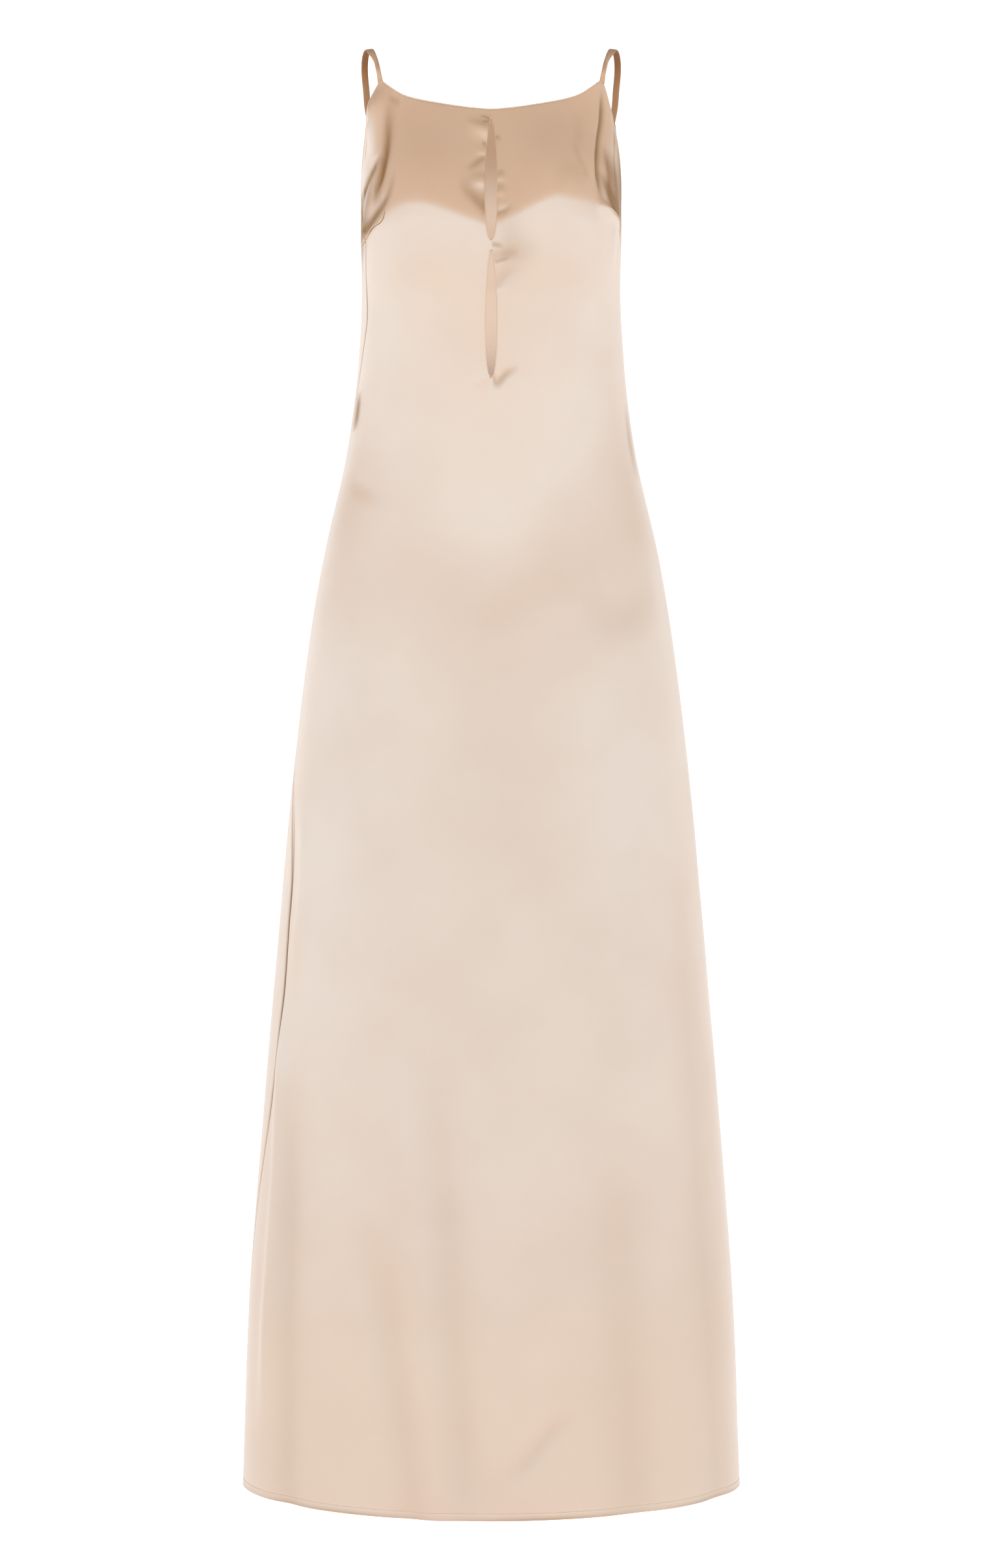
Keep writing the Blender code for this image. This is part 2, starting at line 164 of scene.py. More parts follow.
# Two slits down the middle of the front
Slit = namedtuple("Slit", "top bottom half_width rows")
SLITS = (
    Slit(-0.0918, -0.2214, 0.0066, 62),
    Slit(-0.2334, -0.3571, 0.0060, 54),
)
SLIT_END = 0.0007
SLIT_FULLEST = 1.25
SLIT_ROUND = 0.4                # how blunt their tops are: less is blunter
SLIT_FOOT = 0.3                 # and their feet
SKIRT_STRIP = 0.0040            # half-width of the middle column low on the skirt

# Creases, each along a path of places (x, height) on a face of the dress. A rise below zero
# is a trough. The skew widens the crease on its +X side, or on its upper side if it runs
# across. The shade is how much darker the cloth is coloured along it: painted shade in and
# beside its folds, and on the broad rows on the skirt that have no rise, a darker tone over
# wide patches. Both fade in and out over a share of its run.
Crease = namedtuple("Crease", "path width skew rise shade fade_in fade_out")
FRONT_CREASES = (
    # Chest, wearer's right
    Crease(((-0.1040, -0.0600), (-0.1075, -0.1032), (-0.1098, -0.1215), (-0.1118, -0.1318),
            (-0.1158, -0.1531), (-0.1204, -0.1777)), 0.0055, 1.6, -0.0050, 1.00, 0.65, 0.30),
    Crease(((-0.1140, -0.0440), (-0.1200, -0.0950), (-0.1225, -0.1380)),
           0.0130, 1.0, 0.0090, 0.0, 0.30, 0.70),
    Crease(((-0.1180, -0.0840), (-0.1256, -0.0979), (-0.1302, -0.1238)),
           0.0012, 1.0, -0.0003, 0.55, 0.20, 0.30),
    Crease(((-0.1120, -0.1240), (-0.1215, -0.1370), (-0.1320, -0.1580)),
           0.0042, 0.6, -0.0020, 0.95, 0.35, 0.12),
    Crease(((-0.1151, -0.1400), (-0.1184, -0.1518), (-0.1204, -0.1680)),
           0.0022, 1.0, 0.0015, 0.0, 0.35, 0.35),
    Crease(((-0.1035, -0.1450), (-0.1098, -0.1651), (-0.1204, -0.1884)),
           0.0030, 1.0, 0.0008, 0.0, 0.45, 0.45),
    Crease(((-0.1200, -0.1480), (-0.1262, -0.1750), (-0.1290, -0.2060)),
           0.0100, 1.0, 0.0020, 0.50, 0.50, 0.08),
    Crease(((-0.1330, -0.1520), (-0.1340, -0.1800), (-0.1340, -0.2120)),
           0.0160, 1.0, 0.0, 0.80, 0.25, 0.08),
    Crease(((-0.0960, -0.1500), (-0.1048, -0.1711), (-0.1138, -0.1844), (-0.1230, -0.1964),
            (-0.1290, -0.2050)), 0.0050, 1.1, -0.0010, 0.80, 0.35, 0.15),
    Crease(((-0.1060, -0.0590), (-0.1008, -0.0649), (-0.0920, -0.0690)),
           0.0045, 1.0, -0.0004, 0.25, 0.35, 0.35),
    Crease(((-0.1060, -0.1880), (-0.1110, -0.1935), (-0.1191, -0.1985), (-0.1243, -0.2030),
            (-0.1330, -0.2110)), 0.0045, 2.2, 0.0016, 0.45, 0.35, 0.05),
    Crease(((-0.0850, -0.0780), (-0.0400, -0.0760)), 0.0180, 1.0, 0.0009, 0.0, 0.40, 0.40),
    # Chest, wearer's left
    Crease(((0.0600, -0.1580), (0.0800, -0.1480), (0.1000, -0.1540)),
           0.0120, 1.0, 0.0, 0.14, 0.40, 0.40),
    Crease(((0.1138, -0.0500), (0.1131, -0.0842), (0.1098, -0.1072), (0.1078, -0.1338),
            (0.1098, -0.1604), (0.1138, -0.1780)), 0.0032, 1.1, -0.0024, 0.90, 0.22, 0.25),
    Crease(((0.1150, -0.1100), (0.1192, -0.1391), (0.1212, -0.1604), (0.1225, -0.1760)),
           0.0045, 1.0, -0.0006, 0.40, 0.45, 0.30),
    Crease(((0.1272, -0.0900), (0.1266, -0.1258), (0.1272, -0.1511)),
           0.0016, 1.0, -0.0005, 0.60, 0.25, 0.25),
    Crease(((0.1180, -0.1150), (0.1260, -0.1500), (0.1290, -0.1880)),
           0.0140, 1.0, 0.0016, 0.90, 0.60, 0.08),
    Crease(((0.1310, -0.0850), (0.1345, -0.1400), (0.1350, -0.1960)),
           0.0150, 1.0, 0.0, 0.85, 0.35, 0.08),
    Crease(((0.1040, -0.1735), (0.1125, -0.1780), (0.1205, -0.1812), (0.1272, -0.1866),
            (0.1320, -0.1950)), 0.0058, 0.5, 0.0032, 0.0, 0.35, 0.20),
    Crease(((0.1130, -0.1420), (0.1190, -0.1620), (0.1255, -0.1770), (0.1310, -0.1900)),
           0.0075, 1.0, -0.0006, 0.75, 0.35, 0.15),
    Crease(((0.1260, -0.1900), (0.1250, -0.2100), (0.1235, -0.2500)),
           0.0080, 1.0, 0.0022, 0.0, 0.30, 0.60),
    Crease(((0.0835, -0.1152), (0.0895, -0.1325), (0.0957, -0.1458), (0.0984, -0.1567)),
           0.0030, 1.0, -0.0005, 0.18, 0.25, 0.25),
    Crease(((0.0895, -0.0799), (0.0895, -0.1032), (0.0882, -0.1265)),
           0.0060, 1.0, -0.0004, 0.12, 0.40, 0.40),
    # Upper slit, wearer's right edge
    Crease(((-0.0020, -0.0950), (-0.0100, -0.0945)), 0.0018, 1.0, -0.0008, 0.45, 0.05, 0.60),
    Crease(((-0.0022, -0.1035), (-0.0140, -0.1010), (-0.0300, -0.0960)),
           0.0078, 0.80, 0.0040, 0.0, 0.05, 0.80),
    Crease(((-0.0010, -0.0925), (-0.0060, -0.0900), (-0.0120, -0.0890)),
           0.0016, 1.0, -0.0002, 0.60, 0.05, 0.60),
    Crease(((-0.0045, -0.1210), (-0.0100, -0.1170)), 0.0025, 1.0, -0.0010, 0.50, 0.05, 0.60),
    Crease(((-0.0055, -0.1290), (-0.0220, -0.1230)), 0.0037, 1.0, 0.0008, 0.0, 0.05, 0.70),
    Crease(((-0.0055, -0.1320), (-0.0130, -0.1390), (-0.0230, -0.1500)),
           0.0039, 1.0, -0.0013, 0.45, 0.05, 0.60),
    Crease(((-0.0060, -0.1590), (-0.0150, -0.1590), (-0.0270, -0.1620)),
           0.0066, 0.80, 0.0030, 0.0, 0.05, 0.75),
    Crease(((-0.0058, -0.1885), (-0.0180, -0.1770), (-0.0340, -0.1640)),
           0.0070, 1.3, -0.0016, 0.50, 0.05, 0.80),
    # Upper slit, wearer's left edge
    Crease(((0.0030, -0.1115), (0.0110, -0.1140)), 0.0023, 1.0, -0.0007, 0.45, 0.05, 0.60),
    Crease(((0.0055, -0.1510), (0.0150, -0.1500)), 0.0023, 1.0, -0.0007, 0.30, 0.05, 0.60),
    Crease(((0.0060, -0.1570), (0.0200, -0.1560)), 0.0034, 0.80, 0.0013, 0.0, 0.05, 0.70),
    Crease(((0.0060, -0.1640), (0.0150, -0.1650)), 0.0023, 1.0, -0.0007, 0.30, 0.05, 0.60),
    Crease(((0.0060, -0.1715), (0.0180, -0.1725)), 0.0034, 0.80, 0.0013, 0.0, 0.05, 0.70),
    Crease(((0.0060, -0.1860), (0.0200, -0.1830)), 0.0032, 1.0, 0.0005, 0.0, 0.05, 0.60),
    Crease(((0.0055, -0.1950), (0.0140, -0.1920), (0.0230, -0.1870)),
           0.0030, 1.0, -0.0010, 0.35, 0.05, 0.70),
    # Between the slits and down the lower one
    Crease(((0.0005, -0.2262), (0.0130, -0.2285)), 0.0021, 1.0, -0.0008, 0.45, 0.10, 0.60),
    Crease(((0.0150, -0.1800), (0.0200, -0.2200), (0.0180, -0.2800)),
           0.0160, 1.0, -0.0006, 0.15, 0.40, 0.50),
    Crease(((0.0010, -0.2385), (0.0150, -0.2360), (0.0310, -0.2345)),
           0.0052, 1.0, -0.0008, 0.22, 0.10, 0.70),
    Crease(((0.0080, -0.2330), (0.0500, -0.2340)), 0.0120, 1.0, 0.0, 0.12, 0.25, 0.40),
    Crease(((0.0030, -0.2480), (0.0240, -0.2410)), 0.0030, 1.0, 0.0010, 0.0, 0.05, 0.60),
    Crease(((0.0040, -0.2700), (0.0140, -0.2560), (0.0240, -0.2480)),
           0.0060, 1.0, -0.0011, 0.20, 0.05, 0.70),
    Crease(((0.0008, -0.3590), (0.0062, -0.3636), (0.0161, -0.3551), (0.0292, -0.3485)),
           0.0038, 1.0, -0.0013, 0.45, 0.10, 0.70),
    Crease(((-0.0010, -0.3580), (-0.0200, -0.3650)), 0.0040, 1.0, 0.0007, 0.0, 0.10, 0.60),
    # Skirt
    Crease(((-0.1358, -0.3630), (-0.1384, -0.3850), (-0.1412, -0.4060)),
           0.0090, 1.0, -0.0010, 0.90, 0.40, 0.40),
    Crease(((-0.1445, -0.4600), (-0.1300, -0.4670), (-0.1000, -0.4850)),
           0.0080, 1.0, -0.0006, 0.07, 0.20, 0.60),
    Crease(((0.1385, -0.3760), (0.1435, -0.4150), (0.1510, -0.4560)),
           0.0080, 1.0, -0.0008, 0.40, 0.45, 0.45),
    Crease(((0.0900, -0.5900), (0.1300, -0.6050), (0.1700, -0.5800)),
           0.0220, 1.0, 0.0, 0.13, 0.40, 0.40),
    Crease(((-0.0200, -0.5800), (0.0200, -1.2200)), 0.1000, 1.0, 0.0, 0.06, 0.30, 0.35),
    Crease(((0.1150, -0.8600), (0.1100, -1.1400)), 0.0400, 1.0, 0.0, 0.05, 0.35, 0.35),
    Crease(((-0.0850, -1.0200), (-0.0600, -1.5600)), 0.0220, 1.0, 0.0046, 0.0, 0.30, 0.05),
    Crease(((-0.1190, -1.2000), (-0.0660, -1.5600)), 0.0180, 1.0, -0.0034, 0.10, 0.35, 0.05),
    Crease(((-0.0560, -1.0500), (-0.0240, -1.5200)), 0.0180, 1.0, -0.0030, 0.10, 0.35, 0.20),
    Crease(((-0.2060, -1.0500), (-0.2060, -1.5600)), 0.0200, 1.0, -0.0040, 0.15, 0.30, 0.05),
    Crease(((-0.2120, -0.9800), (-0.2190, -1.1700), (-0.2270, -1.2900), (-0.2360, -1.4600)),
           0.0120, 1.0, 0.0050, 0.0, 0.20, 0.30),
    Crease(((-0.2030, -0.7600), (-0.2040, -0.8500), (-0.2085, -0.9170), (-0.2125, -0.9740),
            (-0.2190, -1.0430), (-0.2254, -1.0940), (-0.2310, -1.1400)),
           0.0018, 1.0, -0.0010, 1.00, 0.35, 0.35),
    Crease(((-0.1960, -0.7700), (-0.1920, -0.8600), (-0.2040, -0.9800)),
           0.0100, 1.0, 0.0026, 0.0, 0.35, 0.35),
    Crease(((0.1880, -0.8200), (0.2350, -1.5600)), 0.0220, 1.0, -0.0036, 0.10, 0.30, 0.05),
    Crease(((0.1180, -1.1000), (0.1500, -1.5600)), 0.0280, 1.0, -0.0030, 0.10, 0.40, 0.05),
    Crease(((0.0760, -1.3900), (0.0200, -1.4620)), 0.0090, 1.0, -0.0013, 0.12, 0.35, 0.35),
)
BACK_CREASES = (
    Crease(((0.0, -0.0560), (0.0, -0.1200)), 0.0160, 1.0, -0.0003, 0.10, 0.05, 0.60),
    Crease(((-0.1050, -0.1660), (-0.0400, -0.1785), (0.0400, -0.1810), (0.0950, -0.1700)),
           0.0105, 1.3, -0.0010, 0.17, 0.50, 0.45),
    Crease(((-0.0850, -0.2420), (-0.0200, -0.2360), (0.0700, -0.2300)),
           0.0060, 1.2, -0.0005, 0.06, 0.50, 0.45),
    Crease(((0.1080, -0.0700), (0.1180, -0.2000)), 0.0120, 1.0, -0.0030, 0.20, 0.25, 0.25),
    Crease(((-0.1080, -0.0700), (-0.1180, -0.2000)), 0.0110, 1.0, -0.0028, 0.20, 0.25, 0.25),
    Crease(((0.1350, -0.7000), (0.1900, -1.5600)), 0.0300, 1.0, -0.0060, 0.15, 0.25, 0.05),
    Crease(((0.0520, -0.9000), (0.0750, -1.5600)), 0.0300, 1.0, 0.0050, 0.0, 0.30, 0.05),
    Crease(((-0.0450, -0.8000), (-0.0750, -1.5600)), 0.0300, 1.0, -0.0050, 0.15, 0.30, 0.05),
    Crease(((-0.1500, -0.9500), (-0.1920, -1.5600)), 0.0260, 1.0, 0.0050, 0.0, 0.30, 0.05),
)
CREASE_REACH = 3.0              # widths out from its line at which a crease is left out
CREASE_STEP = 0.001             # of the way along a crease, between the readings kept of it

# Path of the strap on the wearer's left, between its two sewn ends
Station = namedtuple("Station", "along x y z face_x face_y face_z")
STRAP_PATH = (
    Station(0.16, 0.1172, -0.0400, -0.0290, 0.84, -0.40, 0.36),
    Station(0.28, 0.1203, -0.0270, -0.0168, 0.90, -0.22, 0.37),
    Station(0.39, 0.1245, -0.0130, -0.0068, 0.66, -0.20, 0.72),
    Station(0.48, 0.1284, 0.0000, -0.0012, 0.12, 0.00, 0.99),
    Station(0.58, 0.1318, 0.0160, -0.0040, 0.05, 0.33, 0.94),
    Station(0.69, 0.1336, 0.0340, -0.0108, 0.03, 0.47, 0.88),
    Station(0.78, 0.1338, 0.0470, -0.0190, 0.05, 0.60, 0.80),
    Station(0.88, 0.1328, 0.0600, -0.0325, 0.10, 0.78, 0.62),
    Station(0.95, 0.1318, 0.0682, -0.0475, 0.25, 0.88, 0.38),
)

# Sewn lines on the front, each along a path of places (x, height)
DART_LINES = (
    ((-0.1322, -0.2130), (-0.1243, -0.2044), (-0.1191, -0.1997), (-0.1130, -0.1972),
     (-0.1098, -0.1930), (-0.1085, -0.1871)),
    ((0.1100, -0.1790), (0.1205, -0.1822), (0.1272, -0.1876), (0.1312, -0.1943),
     (0.1336, -0.2020)),
)
MIDDLE_LINES = (
    ((-0.0004, -0.0822), (-0.0014, -0.0865), (-0.0002, -0.0920)),
)
# Bars of stitches across the ends of the slits: height and half-width
TACKS = ((-0.0912, 0.0016), (-0.2220, 0.0015), (-0.2328, 0.0015), (-0.3577, 0.0017))

# Camera and studio
CAMERA_PLACE = (0.0, -3.47, -0.7687)
CAMERA_LENS = 76.2
CAMERA_SENSOR = 36.0
CAMERA_SHIFT = 0.5 / 2411       # half a pixel of the view's height
INNER_LIGHT_PLACE = (0.0, 0.05, -0.230)
INNER_LIGHT_SIZE = (0.10, 0.20)
INNER_LIGHT_COLOUR = (0.69, 0.84, 1.0)

# Dark flags beside the chest, and how far back they all reach
Flag = namedtuple("Flag", "aside front foot top")
FLAGS = (
    Flag(-0.20, 0.02, -0.195, -0.150),
    Flag(0.20, 0.05, -0.165, -0.090),
)
FLAG_BACK = 0.60

# The band of light round the horizon, from the front (0), past the sides (0.5), to the back
# (1): the sines of the heights at which it starts to fade and has gone, and its strength
LightBand = namedtuple("LightBand", "facing full gone strength")
LIGHT_BAND = (
    LightBand(0.00, 0.27, 0.38, 0.98),
    LightBand(0.18, 0.27, 0.38, 0.98),
    LightBand(0.40, 0.22, 0.34, 1.00),
    LightBand(0.90, 0.20, 0.32, 0.62),
    LightBand(0.96, 0.32, 0.50, 0.45),
    LightBand(1.00, 0.32, 0.50, 0.45),
)
FLOOR_HEIGHT = -1.620
FLOOR_RADIUS = 40.0
FLOOR_SEGMENTS = 96
FLOOR_COLOUR = (0.2, 0.2, 0.2)
FLOOR_ROUGHNESS = 0.9
FLOOR_GLOSS = 0.1
WHITE = (1.0, 1.0, 1.0)
FLAG_COLOUR = (0.02, 0.015, 0.01)


def read_table(rows, key):
    """Read a table at a place between its rows, on a smooth curve through them."""
    ordered = rows if rows[-1][0] > rows[0][0] else rows[::-1]
    key = min(max(key, ordered[0][0]), ordered[-1][0])
    index = 0
    while index < len(ordered) - 2 and key > ordered[index + 1][0]:
        index += 1
    low, high = ordered[index], ordered[index + 1]
    before = ordered[max(index - 1, 0)]
    after = ordered[min(index + 2, len(ordered) - 1)]
    span = high[0] - low[0]
    t = (key - low[0]) / span
    values = [key]
    for column in range(1, len(low)):
        slope_low = (high[column] - before[column]) / (high[0] - before[0]) * span
        slope_high = (after[column] - low[column]) / (after[0] - low[0]) * span
        values.append((2 * t**3 - 3 * t**2 + 1) * low[column] + (t**3 - 2 * t**2 + t) * slope_low
                      + (3 * t**2 - 2 * t**3) * high[column] + (t**3 - t**2) * slope_high)
    return type(low)(*values)


def sampled(rows, step):
    """Read a table once at even steps, and return a quick reader of it."""
    first = min(rows[0][0], rows[-1][0])
    count = math.ceil(abs(rows[-1][0] - rows[0][0]) / step)
    kept = [read_table(rows, first + step * index) for index in range(count + 2)]
    kind = type(rows[0])

    def read(key):
        place = min(max((key - first) / step, 0.0), count)
        index = int(place)
        share = place - index
        pairs = zip(kept[index], kept[index + 1])
        return kind(*(low + (high - low) * share for low, high in pairs))

    return read


section_at = sampled(SECTIONS, 0.002)
seams_at = sampled(SEAMS, 0.002)
bust_line_at = sampled(BUST_LINE, 0.001)
neckline_at = sampled(NECKLINE, 0.005)


def seam_angle(height, side):
    """Angle of the seam on the +X side, or on the other where the side is below zero."""
    seams = seams_at(height)
    return seams.left if side > 0.0 else seams.right


def angle_aside(x, width):
    """Angle from the middle of a half of the section to a place so far aside."""
    return math.degrees(math.asin(min(max(x / width, -1.0), 1.0)))


def smooth(value):
    """Ease from 0 to 1 as the value goes from 0 to 1."""
    value = min(max(value, 0.0), 1.0)
    return value * value * (3.0 - 2.0 * value)


def bell(value):
    """A bell curve, 1 at the middle."""
    return math.exp(-value * value)


def plain_point(angle, height):
    """A point of the cloth with its cups but no creases."""
    section = section_at(height)
    sine = math.sin(math.radians(angle))
    back = math.cos(math.radians(angle)) < 0.0
    power = section.back_round if back else section.front_round
    forward = (1.0 - abs(sine)**power)**(1.0 / power)
    if back:
        return Vector((section.back_width * sine, section.back_depth * forward, height))
    x = section.front_width * sine
    cups = smooth((CUP_TOP - height) / (CUP_TOP - CUP_FADE))
    turned = height - (bust_line_at(x).height - TURN_HEIGHT) * cups
    return Vector((x, -section_at(turned).front_depth * forward, height))


def outward(angle, height, step=1.0):
    """The level direction that points out of the dress."""
    along = plain_point(angle + step, height) - plain_point(angle - step, height)
    return Vector((along.y, -along.x, 0.0)).normalized()


def turned_near(angle, other):
    """The same angle, give or take whole turns, within half a turn of the other."""
    return other + (angle - other + 180.0) % 360.0 - 180.0


# Lengths round the dress from the middle of the front, in even steps of angle and height
ARC_ANGLE = 1.5
ARC_HEIGHT = 0.025
ARC_ANGLES = 120
ARC_HEIGHTS = 61


def measure_arcs():
    """Lengths from the middle of the front round to each angle, at even heights."""
    arcs = []
    for row in range(ARC_HEIGHTS + 1):
        height = -ARC_HEIGHT * row
        points = [plain_point(ARC_ANGLE * step, height) for step in range(ARC_ANGLES + 1)]
        lengths = [0.0]
        for before, after in zip(points, points[1:]):
            lengths.append(lengths[-1] + (after - before).length)
        arcs.append(lengths + lengths[-1:])
    return arcs


ARCS = measure_arcs()


def arc_length(angle, height):
    """The way round the cloth from the middle of the front, below zero towards -X."""
    angle = turned_near(angle, 0.0)
    column = min(abs(angle) / ARC_ANGLE, float(ARC_ANGLES))
    row = min(max(-height / ARC_HEIGHT, 0.0), ARC_HEIGHTS - 0.001)
    left, top = int(column), int(row)
    across, down = column - left, row - top
    upper = ARCS[top][left] + (ARCS[top][left + 1] - ARCS[top][left]) * across
    lower = ARCS[top + 1][left] + (ARCS[top + 1][left + 1] - ARCS[top + 1][left]) * across
    return math.copysign(upper + (lower - upper) * down, angle)


def half_girth(height):
    """The way round the cloth from the middle of the front to the middle of the back."""
    return abs(arc_length(180.0, height))


def back_length(angle, height):
    """The way round the cloth from the middle of the back, growing towards +X."""
    angle = turned_near(angle, 0.0)
    return math.copysign(half_girth(height) - abs(arc_length(angle, height)), angle)


Turn = namedtuple("Turn", "key aside")
Line = namedtuple("Line", "turn_at upright start run low high crease")


def laid_crease(crease, back):
    """A crease as a line on the cloth: how far aside it lies at each key along its run."""
    spots = []
    for x, z in crease.path:
        section = section_at(z)
        width = section.back_width if back else section.front_width
        angle = angle_aside(x, width)
        spots.append((back_length(180.0 - angle, z) if back else arc_length(angle, z), z))
    first, last = spots[0], spots[-1]
    upright = abs(last[1] - first[1]) > abs(last[0] - first[0])
    turns = [Turn(z, u) if upright else Turn(u, z) for u, z in spots]
    margin = crease.width * CREASE_REACH * max(crease.skew, 1.0 / crease.skew)
    return Line(sampled(turns, CREASE_STEP), upright, turns[0].key, turns[-1].key - turns[0].key,
                min(turn.aside for turn in turns) - margin,
                max(turn.aside for turn in turns) + margin, crease)


FRONT_LINES = [laid_crease(crease, False) for crease in FRONT_CREASES]
BACK_LINES = [laid_crease(crease, True) for crease in BACK_CREASES]


def crease_relief(lines, u, z):
    """How far the creases lift the cloth at a place, and the painted shade they put there."""
    lift = shade = 0.0
    for line in lines:
        key, aside = (z, u) if line.upright else (u, z)
        along = (key - line.start) / line.run
        if not (0.0 < along < 1.0 and line.low < aside < line.high):
            continue
        crease = line.crease
        middle = line.turn_at(key).aside
        slope = (line.turn_at(key + CREASE_STEP).aside - middle) / CREASE_STEP
        across = (aside - middle) / math.hypot(1.0, slope)
        across /= crease.width * (crease.skew if across > 0.0 else 1.0 / crease.skew)
        fade = smooth(along / crease.fade_in) * smooth((1.0 - along) / crease.fade_out)
        depth = bell(across)
        lift += crease.rise * fade * depth
        # Painted shade along the crease
        shade += crease.shade * math.sqrt(fade) * depth
    return lift, shade


# Small unevenness of hanging cloth, how it tucks in at its side seams, and its hem; painted shade
# along the seams and the hem's edge
RIPPLE_RISE = 0.0003
RIPPLE_LENGTH = 0.070
BACK_START = 0.1                # way round from the middle of the front to the back creases
SEAM_TOP = UNDERARM_HEIGHT + 0.02
SEAM_TUCK = 0.0009
SEAM_WIDTH = 0.0016
# Painted shade along the side seams, where the cloth tucks in
SEAM_SHADE = 0.15
HEM_DEEP = 0.0070
HEM_TUCK = 0.0003
HEM_TUCK_WIDTH = 0.0012
HEM_EDGE = 0.0030
# Painted shade along the hem's edge
HEM_SHADE = 0.40
HEM_PATCH = 0.110               # length of a patch of stronger and weaker painted shade along the hem


def cloth_relief(angle, height):
    """How far the finished cloth stands out from its plain section, and its painted shade."""
    around = arc_length(angle, height)
    lift, shade = crease_relief(FRONT_LINES, around, height)
    if abs(around) > BACK_START:
        back_lift, back_shade = crease_relief(BACK_LINES, back_length(angle, height), height)
        lift += back_lift
        shade += back_shade
    if height < SEAM_TOP:
        seam = arc_length(seam_angle(height, around), height)
        sewn = bell((abs(around) - abs(seam)) / SEAM_WIDTH)
        lift -= SEAM_TUCK * sewn
        # Painted shade along the seam
        shade += SEAM_SHADE * sewn
    lift += RIPPLE_RISE * noise.noise(Vector((around, 0.0, height)) / RIPPLE_LENGTH)
    lift -= HEM_TUCK * bell((height - HEM_HEIGHT - HEM_DEEP) / HEM_TUCK_WIDTH)
    # Painted shade along the hem's edge, stronger and weaker in patches
    patchy = 1.0 + noise.noise(Vector((around / HEM_PATCH, 0.0, 0.0)))
    shade += HEM_SHADE * patchy * bell((height - HEM_HEIGHT) / HEM_EDGE)
    return lift, min(shade, 1.0)


def on_cloth(angle, height, depth=0.0):
    """A point of the cloth, so deep under its outer face, and the way that the face looks."""
    face = outward(angle, height)
    lift = cloth_relief(angle, height)[0]
    return plain_point(angle, height) + face * (lift - depth), face


Drawn = namedtuple("Drawn", "share x z")


def drawn_path(places, steps, depth):
    """A smooth path on the front of the cloth through places, so deep under its face."""
    rows = [Drawn(index / (len(places) - 1), *place) for index, place in enumerate(places)]
    path = []
    for step in range(steps + 1):
        spot = read_table(rows, step / steps)
        path.append(on_cloth(angle_aside(spot.x, section_at(spot.z).front_width), spot.z, depth))
    return path


def front_top(nominal):
    """Height of the front panel's top edge: neckline, strap end, then armhole."""
    nominal = abs(nominal)
    if nominal <= FRONT_STRAP_INNER:
        share = math.sin(math.radians(nominal)) / math.sin(math.radians(FRONT_STRAP_INNER))
        return neckline_at(share).height
    if nominal <= FRONT_STRAP_OUTER:
        share = (nominal - FRONT_STRAP_INNER) / (FRONT_STRAP_OUTER - FRONT_STRAP_INNER)
        return FRONT_CORNER_INNER + (FRONT_CORNER_OUTER - FRONT_CORNER_INNER) * share
    share = (nominal - FRONT_STRAP_OUTER) / (SIDE - FRONT_STRAP_OUTER)
    return FRONT_CORNER_OUTER + (UNDERARM_HEIGHT - FRONT_CORNER_OUTER) * share


def back_top(nominal):
    """Height of the back panel's top edge: straight top, strap end, then armhole."""
    nominal = abs(nominal)
    if nominal <= BACK_STRAP_INNER:
        share = nominal / BACK_STRAP_INNER
        return BACK_LOW + (BACK_CORNER - BACK_LOW) * share * share
    if nominal <= BACK_STRAP_OUTER:
        return BACK_CORNER
    share = (nominal - BACK_STRAP_OUTER) / (SIDE - BACK_STRAP_OUTER)
    return BACK_CORNER + (UNDERARM_HEIGHT - BACK_CORNER) * share


def evenly(start, end, count):
    """Values from start to end in equal steps, without the start."""
    return [start + (end - start) * step / count for step in range(1, count + 1)]


def eased(start, end, count):
    """Values from start to end, closer together at both ends, without the start."""
    return [start + (end - start) * (1.0 - math.cos(math.pi * step / count)) / 2.0
            for step in range(1, count + 1)]


def slit_half_width(height):
    """Half the width of the slits at a height, or of the narrow strip between them."""
    for slit in SLITS:
        if slit.bottom <= height <= slit.top:
            share = (slit.top - height) / (slit.top - slit.bottom)
            turn = min(share**SLIT_FULLEST, 1.0)
            blunt = SLIT_ROUND if turn < 0.5 else SLIT_FOOT
            fullness = max(math.sin(math.pi * turn), 0.0)**blunt
            return max(slit.half_width * fullness, SLIT_END)
    return SKIRT_STRIP if height < LEVEL_HEIGHT else SLIT_END


def fitted_height(middle_height, top_here):
    """Height of a row at one column: level low down, following the top edge above."""
    if middle_height <= LEVEL_HEIGHT:
        return middle_height
    share = (top_here - LEVEL_HEIGHT) / (NECK_LOW - LEVEL_HEIGHT)
    return LEVEL_HEIGHT + (middle_height - LEVEL_HEIGHT) * share


def front_angle(nominal, height):
    """Angle of a column of the front panel, between the slit and the side seam."""
    section = section_at(height)
    edge = angle_aside(slit_half_width(height), section.front_width)
    gap = math.degrees(SEAM_GAP / 2.0 / section.front_depth)
    run = seam_angle(height, nominal) - gap - edge
    return math.copysign(edge + run * abs(nominal) / SIDE, nominal)


def back_angle(nominal, height):
    """Angle of a column of the back panel, counted from the middle of the back."""
    gap = math.degrees(SEAM_GAP / 2.0 / section_at(height).back_depth)
    return 180.0 - (180.0 - seam_angle(height, nominal) - gap) * nominal / SIDE


